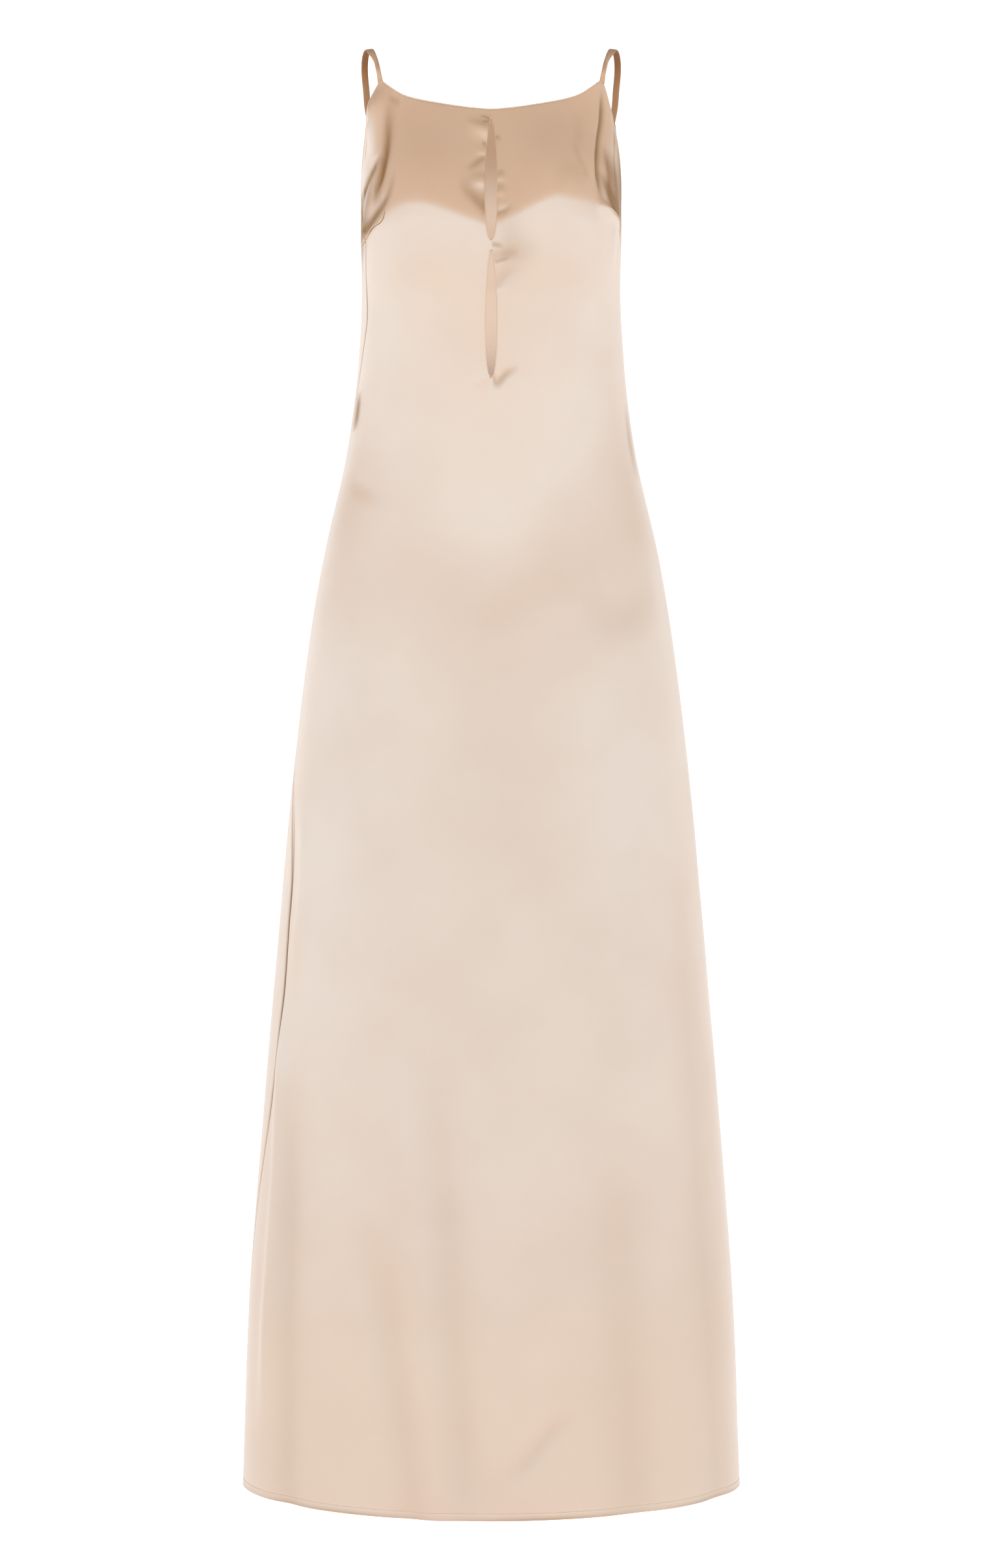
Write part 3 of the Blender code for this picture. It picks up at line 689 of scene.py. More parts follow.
def cloth_grid(columns, rows, place, opening=None):
    """A grid of cloth at the angles and heights that place gives.

    Its UV map holds the way round it and its height, in metres, and its attribute "shade"
    how much painted shade darkens it in its creases, along its side seams and at its hem.
    """
    bm = bmesh.new()
    bmesh.ops.create_grid(bm, x_segments=columns, y_segments=rows, size=0.5)
    if opening:
        gone = []
        for face in bm.faces:
            middle = face.calc_center_median()
            cell = (int((middle.x + 0.5) * columns), int((middle.y + 0.5) * rows))
            if opening(*cell):
                gone.append(face)
        bmesh.ops.delete(bm, geom=gone, context="FACES")
    spread = {}
    shades = bm.verts.layers.float.new("shade")
    for vert in bm.verts:
        column = round((vert.co.x + 0.5) * columns)
        row = round((vert.co.y + 0.5) * rows)
        angle, height, around = place(column, row)
        lift, vert[shades] = cloth_relief(angle, height)
        vert.co = plain_point(angle, height) + outward(angle, height) * lift
        spread[vert.index] = (around, height)
    layer = bm.loops.layers.uv.new("cloth")
    for face in bm.faces:
        for loop in face.loops:
            loop[layer].uv = spread[loop.vert.index]
    return bm


TUBE_END = 0.6                  # share of a tube's path at which its end begins, for the painted shade of its inner side
TUBE_FADE = 0.25                # of its half-thickness, up and down, where the painted shade of its inner side fades
TOUCHING = 1e-7                 # distance at which two points are one


def tube(path, half_width, half_thickness, around, square=1.0, closed=False, shade=None,
         end_dark=1.0):
    """A tube along a path of points, each with the way that its face looks.

    Half the width lies across the path and half the thickness along the face's way. A
    square below 1 flattens the tube's faces. Its inner side is painted dark as shade, on a
    strap partly the satin's duller reverse too, and end_dark times as dark at the end of the
    path, unless it has one painted shade all over.
    """
    bm = bmesh.new()
    steps = len(path) - (0 if closed else 1)
    bmesh.ops.create_grid(bm, x_segments=around, y_segments=steps, size=0.5)
    last = len(path) - 1
    shades = bm.verts.layers.float.new("shade")
    spots = {}
    for vert in bm.verts:
        turn = round((vert.co.x + 0.5) * around) % around
        row = round((vert.co.y + 0.5) * steps)
        point, face = path[row % len(path)]
        before = path[(row - 1) % len(path)][0] if closed else path[max(row - 1, 0)][0]
        after = path[(row + 1) % len(path)][0] if closed else path[min(row + 1, last)][0]
        run = (after - before).normalized()
        across = run.cross(face).normalized()
        face = across.cross(run).normalized()
        angle = 2.0 * math.pi * turn / around
        side, up = math.cos(angle), math.sin(angle)
        # Painted shade: the inner side darker, towards its end as end_dark sets; a given shade lies
        # all over
        if shade is None:
            ended = smooth((row / steps - TUBE_END) / (1.0 - TUBE_END))
            inner = smooth((TUBE_FADE - up) / (2.0 * TUBE_FADE))
            vert[shades] = inner * (1.0 - (1.0 - end_dark) * ended)
        else:
            vert[shades] = shade
        side = math.copysign(abs(side)**square, side)
        up = math.copysign(abs(up)**square, up)
        spots[vert.index] = point + across * side * half_width + face * up * half_thickness
    for vert in bm.verts:
        vert.co = spots[vert.index]
    bmesh.ops.remove_doubles(bm, verts=bm.verts, dist=TOUCHING)
    if not closed:
        rims = [edge for edge in bm.edges if edge.is_boundary]
        bmesh.ops.holes_fill(bm, edges=rims, sides=0)
    bmesh.ops.recalc_face_normals(bm, faces=bm.faces)
    return bm


def joined(parts):
    """One bmesh of several, which it uses up."""
    whole = bmesh.new()
    for part in parts:
        mesh = bpy.data.meshes.new("part")
        part.to_mesh(mesh)
        part.free()
        whole.from_mesh(mesh)
        bpy.data.meshes.remove(mesh)
    return whole


def add_piece(name, bm, material):
    """Make an object of a bmesh, smooth and with one material."""
    mesh = bpy.data.meshes.new(name)
    bm.to_mesh(mesh)
    bm.free()
    mesh.shade_smooth()
    mesh.materials.append(material)
    piece = bpy.data.objects.new(name, mesh)
    bpy.context.scene.collection.objects.link(piece)
    return piece


# Materials

def add_node(tree, kind, **values):
    """A node with its settings, or its inputs where a name isn't a setting."""
    node = tree.nodes.new(kind)
    for name, value in values.items():
        if hasattr(node, name):
            setattr(node, name, value)
        else:
            node.inputs[name.replace("_", " ")].default_value = value
    return node


def new_material(name):
    """A material with its Principled BSDF."""
    material = bpy.data.materials.new(name)
    material.use_nodes = True
    return material, material.node_tree.nodes["Principled BSDF"]


def opaque(colour):
    """A colour as a socket takes it."""
    return tuple(colour) + (1.0,)


def mixed(tree, first, second, share):
    """An output that mixes two colours, the first of which may be an output too."""
    node = add_node(tree, "ShaderNodeMix", data_type="RGBA")
    if isinstance(first, bpy.types.NodeSocket):
        tree.links.new(first, node.inputs["A"])
    else:
        node.inputs["A"].default_value = opaque(first)
    node.inputs["B"].default_value = opaque(second)
    tree.links.new(share, node.inputs["Factor"])
    return node.outputs["Result"]


def added(tree, value, scale, base):
    """An output that adds a value, scaled, to a base."""
    node = add_node(tree, "ShaderNodeMath", operation="MULTIPLY_ADD")
    tree.links.new(value, node.inputs[0])
    node.inputs[1].default_value = scale
    tree.links.new(base, node.inputs[2])
    return node.outputs["Value"]


def bumped(tree, height, strength, distance, under=None):
    """An output with the normals of a bump, over those of another."""
    node = add_node(tree, "ShaderNodeBump", Strength=strength, Distance=distance)
    tree.links.new(height, node.inputs["Height"])
    if under:
        tree.links.new(under, node.inputs["Normal"])
    return node.outputs["Normal"]


# The dye's patches, the slubs to a metre and the finish of the satin and its thread
DYE_DETAIL = 3.0
DYE_ROUGHNESS = 0.55
DYE_RANGE = (0.20, 0.90)
UNEVEN_SHEEN = 0.04
WOVEN_SLUBS = (320.0, 520.0, 1.0)
EDGE_SLUBS = (500.0, 500.0, 500.0)
SLUB_DETAIL = 2.0
SLUB_DEPTH = 0.0002
WEAVE_DEPTH = 0.00005
WEAVE_DISTORTION = 0.3
SHEEN_ROUGHNESS = 0.4
TWIST_SCALE = 1800.0
TWIST_DETAIL = 2.0
TWIST_STRENGTH = 0.4
TWIST_DEPTH = 0.0001
THREAD_ROUGHNESS = 0.6


def satin_material(name, look, colour, deep_colour, shade_colour, gloss, tint, woven=False):
    """Satin: a smooth face with a broad sheen, a fine weave, slightly uneven dye and painted shade.
    """
    material, shader = new_material(name)
    tree = material.node_tree
    link = tree.links.new
    spots = add_node(tree, "ShaderNodeTexCoord").outputs["Object"]
    shade = add_node(tree, "ShaderNodeAttribute", attribute_name="shade").outputs["Fac"]
    cloud = add_node(tree, "ShaderNodeTexNoise", Scale=look.cloud_scale, Detail=DYE_DETAIL,
                     Roughness=DYE_ROUGHNESS)
    link(spots, cloud.inputs["Vector"])
    if woven:
        cloth = add_node(tree, "ShaderNodeUVMap", uv_map="cloth").outputs["UV"]
    stretch = add_node(tree, "ShaderNodeMapping")
    stretch.inputs["Scale"].default_value = WOVEN_SLUBS if woven else EDGE_SLUBS
    link(cloth if woven else spots, stretch.inputs["Vector"])
    slub = add_node(tree, "ShaderNodeTexNoise", Scale=1.0, Detail=SLUB_DETAIL)
    link(stretch.outputs["Vector"], slub.inputs["Vector"])

    slub_middle = 0.5 * look.dye_slub
    patches = add_node(tree, "ShaderNodeMapRange", interpolation_type="SMOOTHSTEP",
                       From_Min=DYE_RANGE[0] + slub_middle, From_Max=DYE_RANGE[1] + slub_middle)
    link(added(tree, slub.outputs["Fac"], look.dye_slub, cloud.outputs["Fac"]),
         patches.inputs["Value"])
    dye = mixed(tree, colour, deep_colour, patches.outputs["Result"])
    # Painted shade: the dye is mixed towards the shade colour as far as the shade attribute says
    link(mixed(tree, dye, shade_colour, shade), shader.inputs["Base Color"])

    sheen = add_node(tree, "ShaderNodeMapRange", clamp=False,
                     To_Min=look.roughness - UNEVEN_SHEEN, To_Max=look.roughness + UNEVEN_SHEEN)
    link(cloud.outputs["Fac"], sheen.inputs["Value"])
    link(added(tree, shade, look.shade_dulling, sheen.outputs["Result"]),
         shader.inputs["Roughness"])

    normal = bumped(tree, slub.outputs["Fac"], look.slub, SLUB_DEPTH)
    if woven:
        threads = add_node(tree, "ShaderNodeTexWave", wave_type="BANDS", bands_direction="DIAGONAL",
                           Scale=1.0 / look.thread_pitch / math.tau, Distortion=WEAVE_DISTORTION)
        link(cloth, threads.inputs["Vector"])
        normal = bumped(tree, threads.outputs["Fac"], look.weave, WEAVE_DEPTH, normal)
    link(normal, shader.inputs["Normal"])

    shader.inputs["IOR"].default_value = look.gloss_index
    shader.inputs["Specular IOR Level"].default_value = gloss
    shader.inputs["Specular Tint"].default_value = opaque(tint)
    # Painted shade in the gloss: its tint is darkened where the cloth is painted in shade
    shaded_tint = [part * look.shade_gloss for part in tint]
    link(mixed(tree, tint, shaded_tint, shade), shader.inputs["Specular Tint"])
    shader.inputs["Sheen Weight"].default_value = look.sheen
    shader.inputs["Sheen Roughness"].default_value = SHEEN_ROUGHNESS
    return material


def thread_material(look):
    """Sewing thread: matte, twisted, a little darker than the satin."""
    material, shader = new_material("thread")
    tree = material.node_tree
    link = tree.links.new
    spots = add_node(tree, "ShaderNodeTexCoord")
    twist = add_node(tree, "ShaderNodeTexNoise", Scale=TWIST_SCALE, Detail=TWIST_DETAIL)
    link(spots.outputs["Object"], twist.inputs["Vector"])
    link(mixed(tree, look.thread_colour, look.satin_deep, twist.outputs["Fac"]),
         shader.inputs["Base Color"])
    link(bumped(tree, twist.outputs["Fac"], TWIST_STRENGTH, TWIST_DEPTH), shader.inputs["Normal"])
    shader.inputs["Roughness"].default_value = THREAD_ROUGHNESS
    return material


def material_of(kind):
    """The named material, made the first time that it is asked for."""
    if kind in bpy.data.materials:
        return bpy.data.materials[kind]
    look = bpy.context.scene.slip_dress_look
    if kind == "thread":
        return thread_material(look)
    # The straps' inner face: partly the satin's duller reverse, partly painted shade
    if kind == "strap_cloth":
        return satin_material(kind, look, look.strap_colour, look.strap_deep, look.strap_inside_shade,
                              look.strap_gloss, look.strap_tint)
    gloss = {"satin_cloth": look.gloss_level, "satin_inside": look.inside_gloss,
             "satin_edge": look.edge_gloss}[kind]
    return satin_material(kind, look, look.satin_colour, look.satin_deep, look.satin_shade,
                          gloss, look.gloss_tint, woven=kind != "satin_edge")


# Sizes and colours

def colour_property(name, description, default):
    """A colour."""
    return bpy.props.FloatVectorProperty(name=name, description=description, default=default,
                                         subtype="COLOR", min=0.0, max=1.0)


def number_property(name, description, default, least=0.0, most=1.0, unit="NONE"):
    """A number, such as a share or a strength."""
    return bpy.props.FloatProperty(name=name, description=description, default=default,
                                   min=least, max=most, unit=unit)


def length_property(name, description, default, least=0.0001):
    """A small length in metres."""
    return number_property(name, description, default, least, unit="LENGTH")


class SlipDressLook(bpy.types.PropertyGroup):
    """Colours and finish of the satin and its thread"""
    satin_colour: colour_property("Satin", "Colour of the satin", (0.666, 0.444, 0.294))
    satin_deep: colour_property(
        "Deep satin", "Colour of the satin where its dye lies deeper", (0.632, 0.395, 0.247))
    # Painted shade: the colour the satin is painted deep in a crease, along a seam and under a
    # rolled edge
    satin_shade: colour_property(
        "Shaded satin", "Colour of the satin deep in a crease", (0.260, 0.122, 0.030))
    strap_colour: colour_property("Strap", "Colour of the straps", (0.475, 0.288, 0.168))
    strap_deep: colour_property(
        "Deep strap", "Colour of the straps where their dye lies deeper", (0.415, 0.238, 0.135))
    # Partly the satin's duller reverse, partly painted shade
    strap_inside_shade: colour_property(
        "Strap inside", "Colour of the straps' inner face", (0.250, 0.100, 0.032))
    thread_colour: colour_property("Thread", "Colour of the sewing thread", (0.660, 0.500, 0.400))
    roughness: number_property("Roughness", "How broad the satin's sheen is", 0.30, least=0.1)
    shade_dulling: number_property(
        "Dulling in folds", "Roughness added where the cloth lies in shade", 0.22)
    # Painted shade in the gloss, as a share of its tint
    shade_gloss: number_property(
        "Gloss in folds", "Share of the gloss left where the cloth lies in shade", 0.25)
    gloss_index: number_property(
        "Gloss index", "Refractive index that sets the satin's gloss", 1.8, least=1.0, most=3.0)
    gloss_level: number_property(
        "Gloss level", "Strength of the gloss, 0.5 being as the index gives", 0.84)
    gloss_tint: colour_property(
        "Gloss tint", "Colour of the gloss where the cloth is seen square on", (0.295, 0.75, 1.0))
    edge_gloss: number_property(
        "Edge gloss", "Strength of the gloss on rolled edges and seams", 0.50)
    inside_gloss: number_property(
        "Inside gloss", "Strength of the gloss on the satin's duller inner face", 0.10)
    strap_gloss: number_property("Strap gloss", "Strength of the straps' gloss", 0.35)
    strap_tint: colour_property(
        "Strap gloss tint", "Colour of the straps' gloss", (1.0, 0.82, 0.64))
    sheen: number_property("Sheen", "Weight of the soft light at the cloth's edges", 0.05)
    cloud_scale: number_property(
        "Dye patches", "How many patches of dye there are to a metre", 7.0, least=0.1, most=100.0)
    dye_slub: number_property("Slub dye", "How much the slub shows in the dye", 0.15)
    slub: number_property("Slub", "Strength of the uneven threads", 0.10)
    weave: number_property("Weave", "Strength of the satin weave", 0.15)
    thread_pitch: length_property(
        "Thread pitch", "Distance from one thread of the weave to the next", 0.0004)


class SlipDressSizes(bpy.types.PropertyGroup):
    """Sizes of the cloth, straps, edges and stitches"""
    cloth: length_property("Cloth", "Thickness of the satin", 0.0005)
    edge: length_property("Rolled edge", "Radius of the rolled edges", 0.0006)
    seam: length_property("Seam", "Radius of the raised line of a seam", 0.0006)
    strap_width: length_property("Strap width", "Width of a strap", 0.0070, least=0.001)
    strap_thickness: length_property(
        "Strap thickness", "Thickness of a strap", 0.0014, least=0.0002)
    stitch: length_property("Stitch", "Length of a stitch of the hem", 0.0022, least=0.0005)
    stitch_gap: length_property("Stitch gap", "Gap between two stitches", 0.0010)
    thread: length_property("Thread", "Radius of the sewing thread", 0.00022, least=0.00005)


class SlipDressStudio(bpy.types.PropertyGroup):
    """Light and floor of the studio"""
    band: number_property(
        "Light band", "Brightness of the band of light all round", 2.8, most=10.0)
    turn: number_property(
        "Light turn", "Degrees by which the band's front turns to the wearer's right", 6.0,
        least=-180.0, most=180.0)
    overhead: number_property("Overhead", "Brightness above the band of light", 0.20, most=10.0)
    inner: number_property(
        "Inner light", "Power of the lamp inside the dress", 0.15, most=10.0, unit="POWER")
    floor: number_property("Floor glow", "Light given off by the pale floor", 1.25, most=10.0)


# Operators

class SLIPDRESS_OT_stage(bpy.types.Operator):
    """Make the pale floor, the studio light and the camera"""
    bl_idname = "slip_dress.stage"
    bl_label = "Stage"

    def execute(self, context):
        studio = context.scene.slip_dress_studio
        self.add_floor(studio)
        self.light_world(context, studio)
        self.add_inner_light(context, studio)
        self.add_flags()
        self.add_camera(context)
        return {"FINISHED"}

    def add_floor(self, studio):
        """A wide pale floor that glows a little, so that it has no edge to be seen."""
        bm = bmesh.new()
        bmesh.ops.create_circle(bm, cap_ends=True, segments=FLOOR_SEGMENTS, radius=FLOOR_RADIUS)
        bmesh.ops.translate(bm, verts=bm.verts, vec=(0.0, 0.0, FLOOR_HEIGHT))
        material, shader = new_material("pale_floor")
        shader.inputs["Base Color"].default_value = opaque(FLOOR_COLOUR)
        shader.inputs["Roughness"].default_value = FLOOR_ROUGHNESS
        shader.inputs["Specular IOR Level"].default_value = FLOOR_GLOSS
        shader.inputs["Emission Color"].default_value = opaque(WHITE)
        shader.inputs["Emission Strength"].default_value = studio.floor
        add_piece("floor", bm, material)

    def light_world(self, context, studio):
        """A band of light round the horizon, high in front and lower at the sides."""
        world = bpy.data.worlds.new("studio")
        context.scene.world = world
        world.use_nodes = True
        tree = world.node_tree
        link = tree.links.new
        direction = add_node(tree, "ShaderNodeTexCoord")
        turned = add_node(tree, "ShaderNodeVectorRotate", rotation_type="Z_AXIS",
                          Angle=math.radians(studio.turn))
        link(direction.outputs["Generated"], turned.inputs["Vector"])
        split = add_node(tree, "ShaderNodeSeparateXYZ")
        link(turned.outputs["Vector"], split.inputs["Vector"])
        facing = add_node(tree, "ShaderNodeMapRange", From_Min=-1.0, From_Max=1.0)
        link(split.outputs["Y"], facing.inputs["Value"])

        def round_the_horizon(column):
            """A curve of one column of the band of light."""
            node = add_node(tree, "ShaderNodeFloatCurve")
            points = node.mapping.curves[0].points
            places = [(row.facing, getattr(row, column)) for row in LIGHT_BAND]
            points[0].location, points[1].location = places[0], places[-1]
            for spot in places[1:-1]:
                points.new(*spot)
            for point in points:
                point.handle_type = "VECTOR"
            node.mapping.update()
            link(facing.outputs["Result"], node.inputs["Value"])
            return node.outputs["Value"]

        fade = add_node(tree, "ShaderNodeMapRange", interpolation_type="SMOOTHSTEP",
                        To_Min=1.0, To_Max=0.0)
        link(split.outputs["Z"], fade.inputs["Value"])
        link(round_the_horizon("full"), fade.inputs["From Min"])
        link(round_the_horizon("gone"), fade.inputs["From Max"])
        strength = add_node(tree, "ShaderNodeMath", operation="MULTIPLY")
        link(round_the_horizon("strength"), strength.inputs[0])
        strength.inputs[1].default_value = studio.band
        brightness = add_node(tree, "ShaderNodeMix", data_type="FLOAT")
        brightness.inputs["A"].default_value = studio.overhead
        link(strength.outputs["Value"], brightness.inputs["B"])
        link(fade.outputs["Result"], brightness.inputs["Factor"])
        glow = tree.nodes["Background"]
        glow.inputs["Color"].default_value = opaque(WHITE)
        link(brightness.outputs["Result"], glow.inputs["Strength"])

    def add_inner_light(self, context, studio):
        """A soft lamp inside, for the light that comes through the thin satin."""
        data = bpy.data.lights.new("inner_light", "AREA")
        data.shape = "RECTANGLE"
        data.size, data.size_y = INNER_LIGHT_SIZE
        data.energy = studio.inner
        data.color = INNER_LIGHT_COLOUR
        lamp = bpy.data.objects.new("inner_light", data)
        lamp.location = INNER_LIGHT_PLACE
        lamp.rotation_euler = (math.radians(90.0), 0.0, 0.0)
        lamp.visible_camera = False
        context.scene.collection.objects.link(lamp)

    def add_flags(self):
        """Dark flags behind the chest's sides, out of view, that its gloss mirrors."""
        material, shader = new_material("dark_flag")
        shader.inputs["Base Color"].default_value = opaque(FLAG_COLOUR)
        shader.inputs["Roughness"].default_value = 1.0
        for spot in FLAGS:
            bm = bmesh.new()
            bmesh.ops.create_grid(bm, x_segments=1, y_segments=1, size=0.5)
            for vert in bm.verts:
                vert.co = (spot.aside, spot.front + (FLAG_BACK - spot.front) * (vert.co.x + 0.5),
                           spot.foot + (spot.top - spot.foot) * (vert.co.y + 0.5))
            flag = add_piece("flag", bm, material)
            flag.visible_camera = flag.visible_shadow = flag.visible_diffuse = False

    def add_camera(self, context):
        """The camera, level and straight in front."""
        data = bpy.data.cameras.new("camera")
        data.lens = CAMERA_LENS
        data.sensor_width = CAMERA_SENSOR
        data.sensor_fit = "AUTO"
        data.shift_x = CAMERA_SHIFT
        camera = bpy.data.objects.new("camera", data)
        camera.location = CAMERA_PLACE
        camera.rotation_euler = (math.radians(90.0), 0.0, 0.0)
        context.scene.collection.objects.link(camera)
        context.scene.camera = camera
        context.scene.view_settings.view_transform = "Standard"


# Columns of cloth out from the middle of a panel: nominal angles that each run of them ends
# at, and their number
Run = namedtuple("Run", "end count")
SIDE_TUCK = 87.0                # the columns are closer together past this angle
FRONT_RUNS = (
    Run(6.0, 12),
    Run(30.0, 24),
    Run(FRONT_STRAP_INNER, 19),
    Run(FRONT_STRAP_OUTER, 3),
    Run(SIDE_TUCK, 19),
    Run(SIDE, 4),
)
BACK_RUNS = (
    Run(BACK_STRAP_INNER, 24),
    Run(BACK_STRAP_OUTER, 3),
    Run(SIDE_TUCK, 22),
    Run(SIDE, 4),
)
# Rows down a panel
TACK_ROWS = 6                   # above each slit
WAIST_ROWS = 12                 # below the slits
FRONT_SKIRT_ROWS = 156
BACK_TOP_ROWS = 80
BACK_SKIRT_ROWS = 130
HEM_ROWS = 7
HEM_STRIP = 0.010               # height of the hem's rows


def columns_of(runs):
    """Nominal angles of the columns out from the middle of a panel, without the middle."""
    angles = []
    for run in runs:
        angles += evenly(angles[-1] if angles else 0.0, run.end, run.count)
    return angles


def skirt_rows(count):
    """Heights of the level rows of a panel down to its hem."""
    rows = evenly(LEVEL_HEIGHT, HEM_HEIGHT + HEM_STRIP, count)
    return rows + evenly(rows[-1], HEM_HEIGHT, HEM_ROWS)


class SLIPDRESS_OT_front_cloth(bpy.types.Operator):
    """Make the front panel with its two slits, creases and puckers"""
    bl_idname = "slip_dress.front_cloth"
    bl_label = "Front cloth"

    def execute(self, context):
        half = [0.0] + columns_of(FRONT_RUNS)
        nominals = [-angle for angle in half[::-1]] + half
        strip = len(half) - 1

        heights = [NECK_LOW]
        slit_rows = []
        for slit in SLITS:
            heights += evenly(heights[-1], slit.top, TACK_ROWS)
            slit_rows += range(len(heights) - 1, len(heights) - 1 + slit.rows)
            heights += eased(slit.top, slit.bottom, slit.rows)
        heights += evenly(heights[-1], LEVEL_HEIGHT, WAIST_ROWS) + skirt_rows(FRONT_SKIRT_ROWS)
        last = len(heights) - 2
        heights = heights[::-1]
        slit_rows = {last - row for row in slit_rows}

        def place(column, row):
            """Angle, height and way round of a point of the grid."""
            nominal = nominals[column]
            height = fitted_height(heights[row], front_top(nominal))
            side = 1.0 if column > strip else -1.0
            angle = front_angle(math.copysign(nominal, side), height)
            return angle, height, arc_length(angle, height)

        bm = cloth_grid(len(nominals) - 1, len(heights) - 1, place,
                        lambda column, row: column == strip and row in slit_rows)
        piece = add_piece("front_cloth", bm, material_of("satin_cloth"))
        add_wall(piece, context.scene.slip_dress_sizes.cloth)
        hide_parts("front_panel")
        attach(piece, "root")
        return {"FINISHED"}


class SLIPDRESS_OT_back_cloth(bpy.types.Operator):
    """Make the back panel with its creases"""
    bl_idname = "slip_dress.back_cloth"
    bl_label = "Back cloth"

    def execute(self, context):
        half = columns_of(BACK_RUNS)
        nominals = [-angle for angle in half[::-1]] + [0.0] + half
        heights = [NECK_LOW] + evenly(NECK_LOW, LEVEL_HEIGHT, BACK_TOP_ROWS)
        heights = (heights + skirt_rows(BACK_SKIRT_ROWS))[::-1]

        def place(column, row):
            """Angle, height and way round of a point of the grid."""
            nominal = -nominals[column]
            height = fitted_height(heights[row], back_top(nominal))
            angle = back_angle(nominal, height)
            return angle, height, back_length(angle, height)

        bm = cloth_grid(len(nominals) - 1, len(heights) - 1, place)
        piece = add_piece("back_cloth", bm, material_of("satin_cloth"))
        add_wall(piece, context.scene.slip_dress_sizes.cloth)
        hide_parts("back_panel")
        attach(piece, "root")
        return {"FINISHED"}


def add_wall(piece, thickness):
    """Give an open sheet its thickness, inwards, with the satin's duller face inside."""
    piece.data.materials.append(material_of("satin_inside"))
    wall = piece.modifiers.new("wall", "SOLIDIFY")
    wall.thickness = thickness
    wall.offset = -1.0
    wall.material_offset = 1


STRAP_STEPS = 120
STRAP_AROUND = 20
STRAP_LIFT = 0.0006             # how far a strap's ends stand above the panels' edges
STRAP_SQUARE = 0.7              # how flat its faces are, as the tube's square
STRAP_END_DARK = 0.30           # how dark the painted shade on its inner side is at the back end


def strap_path(side):
    """Points along the middle of a strap, each with the way that its outer face looks."""
    def sewn_end(angles, heights):
        """The two corners of a sewn end."""
        return [plain_point(angle, height + STRAP_LIFT) for angle, height in zip(angles, heights)]

    front = sewn_end((FRONT_STRAP_INNER, FRONT_STRAP_OUTER),
                     (FRONT_CORNER_INNER, FRONT_CORNER_OUTER))
    back = sewn_end((180.0 - BACK_STRAP_INNER, 180.0 - BACK_STRAP_OUTER),
                    (BACK_CORNER, BACK_CORNER))
    first = Station(0.0, *((front[0] + front[1]) / 2.0),
                    *outward(FRONT_STRAP_INNER, FRONT_CORNER_INNER))
    last = Station(1.0, *((back[0] + back[1]) / 2.0),
                   *outward(180.0 - BACK_STRAP_INNER, BACK_CORNER))
    stations = (first,) + STRAP_PATH + (last,)
    path = []
    for step in range(STRAP_STEPS + 1):
        here = read_table(stations, step / STRAP_STEPS)
        point, face = Vector(here[1:4]), Vector(here[4:7]).normalized()
        point.x *= side
        face.x *= side
        path.append((point, face))
    return path


class SLIPDRESS_OT_straps(bpy.types.Operator):
    """Make the two thin straps"""
    bl_idname = "slip_dress.straps"
    bl_label = "Straps"

    def execute(self, context):
        sizes = context.scene.slip_dress_sizes
        for name, side in (("strap_left", 1.0), ("strap_right", -1.0)):
            # Its inner face painted dark: partly the satin's duller reverse, partly painted shade,
            # lighter towards the back end
            bm = tube(strap_path(side), sizes.strap_width / 2.0, sizes.strap_thickness / 2.0,
                      STRAP_AROUND, square=STRAP_SQUARE, end_dark=STRAP_END_DARK)
            piece = add_piece(name + "_satin", bm, material_of("strap_cloth"))
            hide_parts(name)
            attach(piece, "root")
        return {"FINISHED"}


# Sides of the tubes of edges, seams and threads, and steps along them
EDGE_AROUND = 8
SIDE_SEAM_AROUND = 6
STITCH_AROUND = 5
TACK_AROUND = 6
TOP_STEPS = 360
SLIT_STEPS = 70
DART_STEPS = 60
MIDDLE_STEPS = 16
SIDE_STEPS = 260
TACK_STEPS = 8
EDGE_SHORT = 0.3                # degrees by which a top edge ends short of the side seams
SIDE_SEAM_START = 0.001         # how far down from the underarm its raised line starts
NO_ANGLE = 1e-6                 # stands for the middle, which lies on neither side

# Shares of the seam's radius: how far below a dart its painted shadow line lies, how deep that line
# lies, and other seams
DART_SHADOW_DROP = 1.6
DART_SHADOW_DEEP = 0.3
MIDDLE_RADIUS = 0.5
SIDE_RADIUS = 0.7
# How dark the lines are painted: the dart's shadow line, the middle seam, and the side seams, whose
# line stands for the shade in their groove
DART_SHADOW_SHADE = 1.0
MIDDLE_SHADE = 0.1
SIDE_SHADE = 0.9

# A stitch: shares of its half-length along it, and of the thread's radius into the cloth
STITCH_BEND = ((-1.0, 0.6), (-0.5, -0.6), (0.5, -0.6), (1.0, 0.6))
TACK_SPACING = 2.2              # thread radii between the rows of a tack


def add_sewn(name, parts, kind):
    """Make one piece of many tubes, of the named material."""
    piece = add_piece(name, joined(parts), material_of(kind))
    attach(piece, "root")


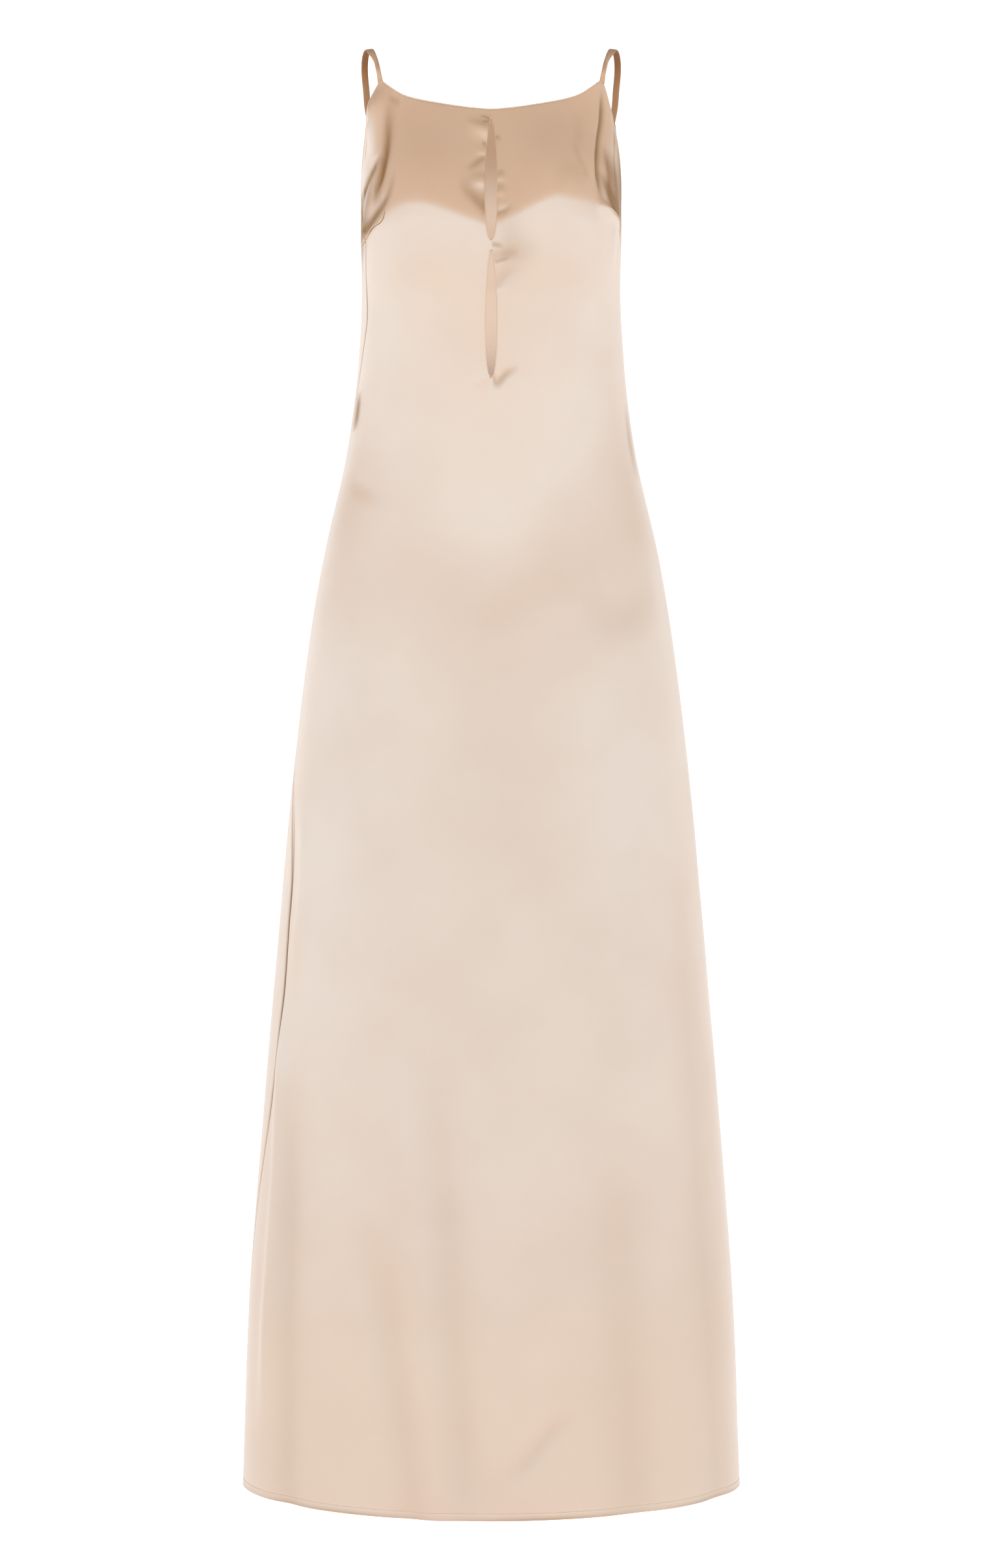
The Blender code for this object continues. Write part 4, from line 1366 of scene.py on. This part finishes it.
class SLIPDRESS_OT_rolled_edges(bpy.types.Operator):
    """Roll the edges of the neckline, armholes, back and slits"""
    bl_idname = "slip_dress.rolled_edges"
    bl_label = "Rolled edges"

    def execute(self, context):
        sizes = context.scene.slip_dress_sizes
        middle = sizes.cloth / 2.0
        edges = (("front_edge", [self.top_path(front_top, front_angle, 1.0, middle)], False),
                 ("back_edge", [self.top_path(back_top, back_angle, -1.0, middle)], False),
                 ("slit_edges", [self.slit_path(slit, middle) for slit in SLITS], True))
        # Their inner sides get the tube's painted shade, for the shade under the roll
        for name, paths, closed in edges:
            parts = [tube(path, sizes.edge, sizes.edge, EDGE_AROUND, closed=closed)
                     for path in paths]
            add_sewn(name, parts, "satin_edge")
        return {"FINISHED"}

    def top_path(self, top, angle_of, way, depth):
        """Path of a panel's top edge, so deep under its outer face."""
        path = []
        for step in range(TOP_STEPS + 1):
            nominal = (SIDE - EDGE_SHORT) * (2.0 * step / TOP_STEPS - 1.0) * way
            if abs(nominal) < NO_ANGLE:
                nominal = NO_ANGLE
            height = top(nominal)
            path.append(on_cloth(angle_of(nominal, height), height, depth))
        return path

    def slit_path(self, slit, depth):
        """Path round a slit, down its -X edge and up the other, so deep under the face."""
        path = []
        shares = [(1.0 - math.cos(math.pi * step / SLIT_STEPS)) / 2.0 for step in range(SLIT_STEPS)]
        for side, turns in ((-1.0, shares), (1.0, [1.0 - share for share in shares])):
            for share in turns:
                height = slit.top + (slit.bottom - slit.top) * share
                angle = angle_aside(slit_half_width(height), section_at(height).front_width)
                path.append(on_cloth(side * angle, height, depth))
        return path


class SLIPDRESS_OT_seams(bpy.types.Operator):
    """Sew the darts, the middle of the front and the side seams"""
    bl_idname = "slip_dress.seams"
    bl_label = "Seams"

    def execute(self, context):
        radius = context.scene.slip_dress_sizes.seam
        seams = [tube(drawn_path(line, DART_STEPS, 0.0), radius, radius, EDGE_AROUND)
                 for line in DART_LINES]
        # A dark tube just under the first dart: a painted shadow line
        dart_shadow = [(x, height - DART_SHADOW_DROP * radius) for x, height in DART_LINES[0]]
        seams.append(tube(drawn_path(dart_shadow, DART_STEPS, radius * DART_SHADOW_DEEP), radius, radius,
                          EDGE_AROUND, shade=DART_SHADOW_SHADE))
        thin = radius * MIDDLE_RADIUS
        seams += [tube(drawn_path(line, MIDDLE_STEPS, 0.0), thin, thin, EDGE_AROUND,
                       shade=MIDDLE_SHADE) for line in MIDDLE_LINES]
        add_sewn("dart_seams", seams, "satin_edge")
        # The side seams' lines are painted dark, for the shade in their groove
        thin = radius * SIDE_RADIUS
        sides = [tube(self.side_path(way), thin, thin, SIDE_SEAM_AROUND, shade=SIDE_SHADE)
                 for way in (-1.0, 1.0)]
        add_sewn("side_seams", sides, "satin_edge")
        return {"FINISHED"}

    def side_path(self, way):
        """Path of a side seam, towards +X or -X, from under the arm to just above the hem."""
        levels = evenly(UNDERARM_HEIGHT, HEM_HEIGHT, SIDE_STEPS)[:-1]
        return [on_cloth(way * seam_angle(height, way), height)
                for height in [UNDERARM_HEIGHT - SIDE_SEAM_START] + levels]


class SLIPDRESS_OT_stitches(bpy.types.Operator):
    """Sew the hem, and tack the ends of the slits"""
    bl_idname = "slip_dress.stitches"
    bl_label = "Stitches"

    def execute(self, context):
        sizes = context.scene.slip_dress_sizes
        height = HEM_HEIGHT + HEM_DEEP
        girth = 2.0 * half_girth(height)
        count = int(girth / (sizes.stitch + sizes.stitch_gap))
        parts = []
        for index in range(count):
            middle = 360.0 * index / count
            half = 180.0 * sizes.stitch / girth
            path = [on_cloth(middle + half * share, height, sizes.thread * depth)
                    for share, depth in STITCH_BEND]
            parts.append(tube(path, sizes.thread, sizes.thread, STITCH_AROUND))
        add_sewn("hem_stitches", parts, "thread")

        bars = []
        for height, half in TACKS:
            for row in (-1.0, 0.0, 1.0):
                level = height + row * TACK_SPACING * sizes.thread
                ends = [(-half, level), (0.0, level), (half, level)]
                bars.append(tube(drawn_path(ends, TACK_STEPS, -sizes.thread), sizes.thread,
                                 sizes.thread, TACK_AROUND))
        add_sewn("slit_tacks", bars, "thread")
        return {"FINISHED"}


class SLIPDRESS_PT_panel(bpy.types.Panel):
    """The slip dress's pieces and their settings"""
    bl_label = "Slip dress"
    bl_idname = "SLIPDRESS_PT_panel"
    bl_space_type = "VIEW_3D"
    bl_region_type = "UI"
    bl_category = "Slip dress"

    def draw(self, context):
        column = self.layout.column(align=True)
        for operator in OPERATORS:
            column.operator(operator.bl_idname)
        for group in (context.scene.slip_dress_look, context.scene.slip_dress_sizes,
                      context.scene.slip_dress_studio):
            box = self.layout.box()
            for name in group.__annotations__:
                box.prop(group, name)


OPERATORS = (
    SLIPDRESS_OT_stage,
    SLIPDRESS_OT_front_cloth,
    SLIPDRESS_OT_back_cloth,
    SLIPDRESS_OT_straps,
    SLIPDRESS_OT_rolled_edges,
    SLIPDRESS_OT_seams,
    SLIPDRESS_OT_stitches,
)
CLASSES = (SlipDressLook, SlipDressSizes, SlipDressStudio) + OPERATORS + (SLIPDRESS_PT_panel,)


def register():
    for cls in CLASSES:
        bpy.utils.register_class(cls)
    bpy.types.Scene.slip_dress_look = bpy.props.PointerProperty(type=SlipDressLook)
    bpy.types.Scene.slip_dress_sizes = bpy.props.PointerProperty(type=SlipDressSizes)
    bpy.types.Scene.slip_dress_studio = bpy.props.PointerProperty(type=SlipDressStudio)


def unregister():
    del bpy.types.Scene.slip_dress_look
    del bpy.types.Scene.slip_dress_sizes
    del bpy.types.Scene.slip_dress_studio
    for cls in reversed(CLASSES):
        bpy.utils.unregister_class(cls)


def main():
    """Build the dress."""
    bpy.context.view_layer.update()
    register()
    bpy.ops.slip_dress.stage()
    bpy.ops.slip_dress.front_cloth()
    bpy.ops.slip_dress.back_cloth()
    bpy.ops.slip_dress.straps()
    bpy.ops.slip_dress.rolled_edges()
    bpy.ops.slip_dress.seams()
    bpy.ops.slip_dress.stitches()


if __name__ == "__main__":
    main()
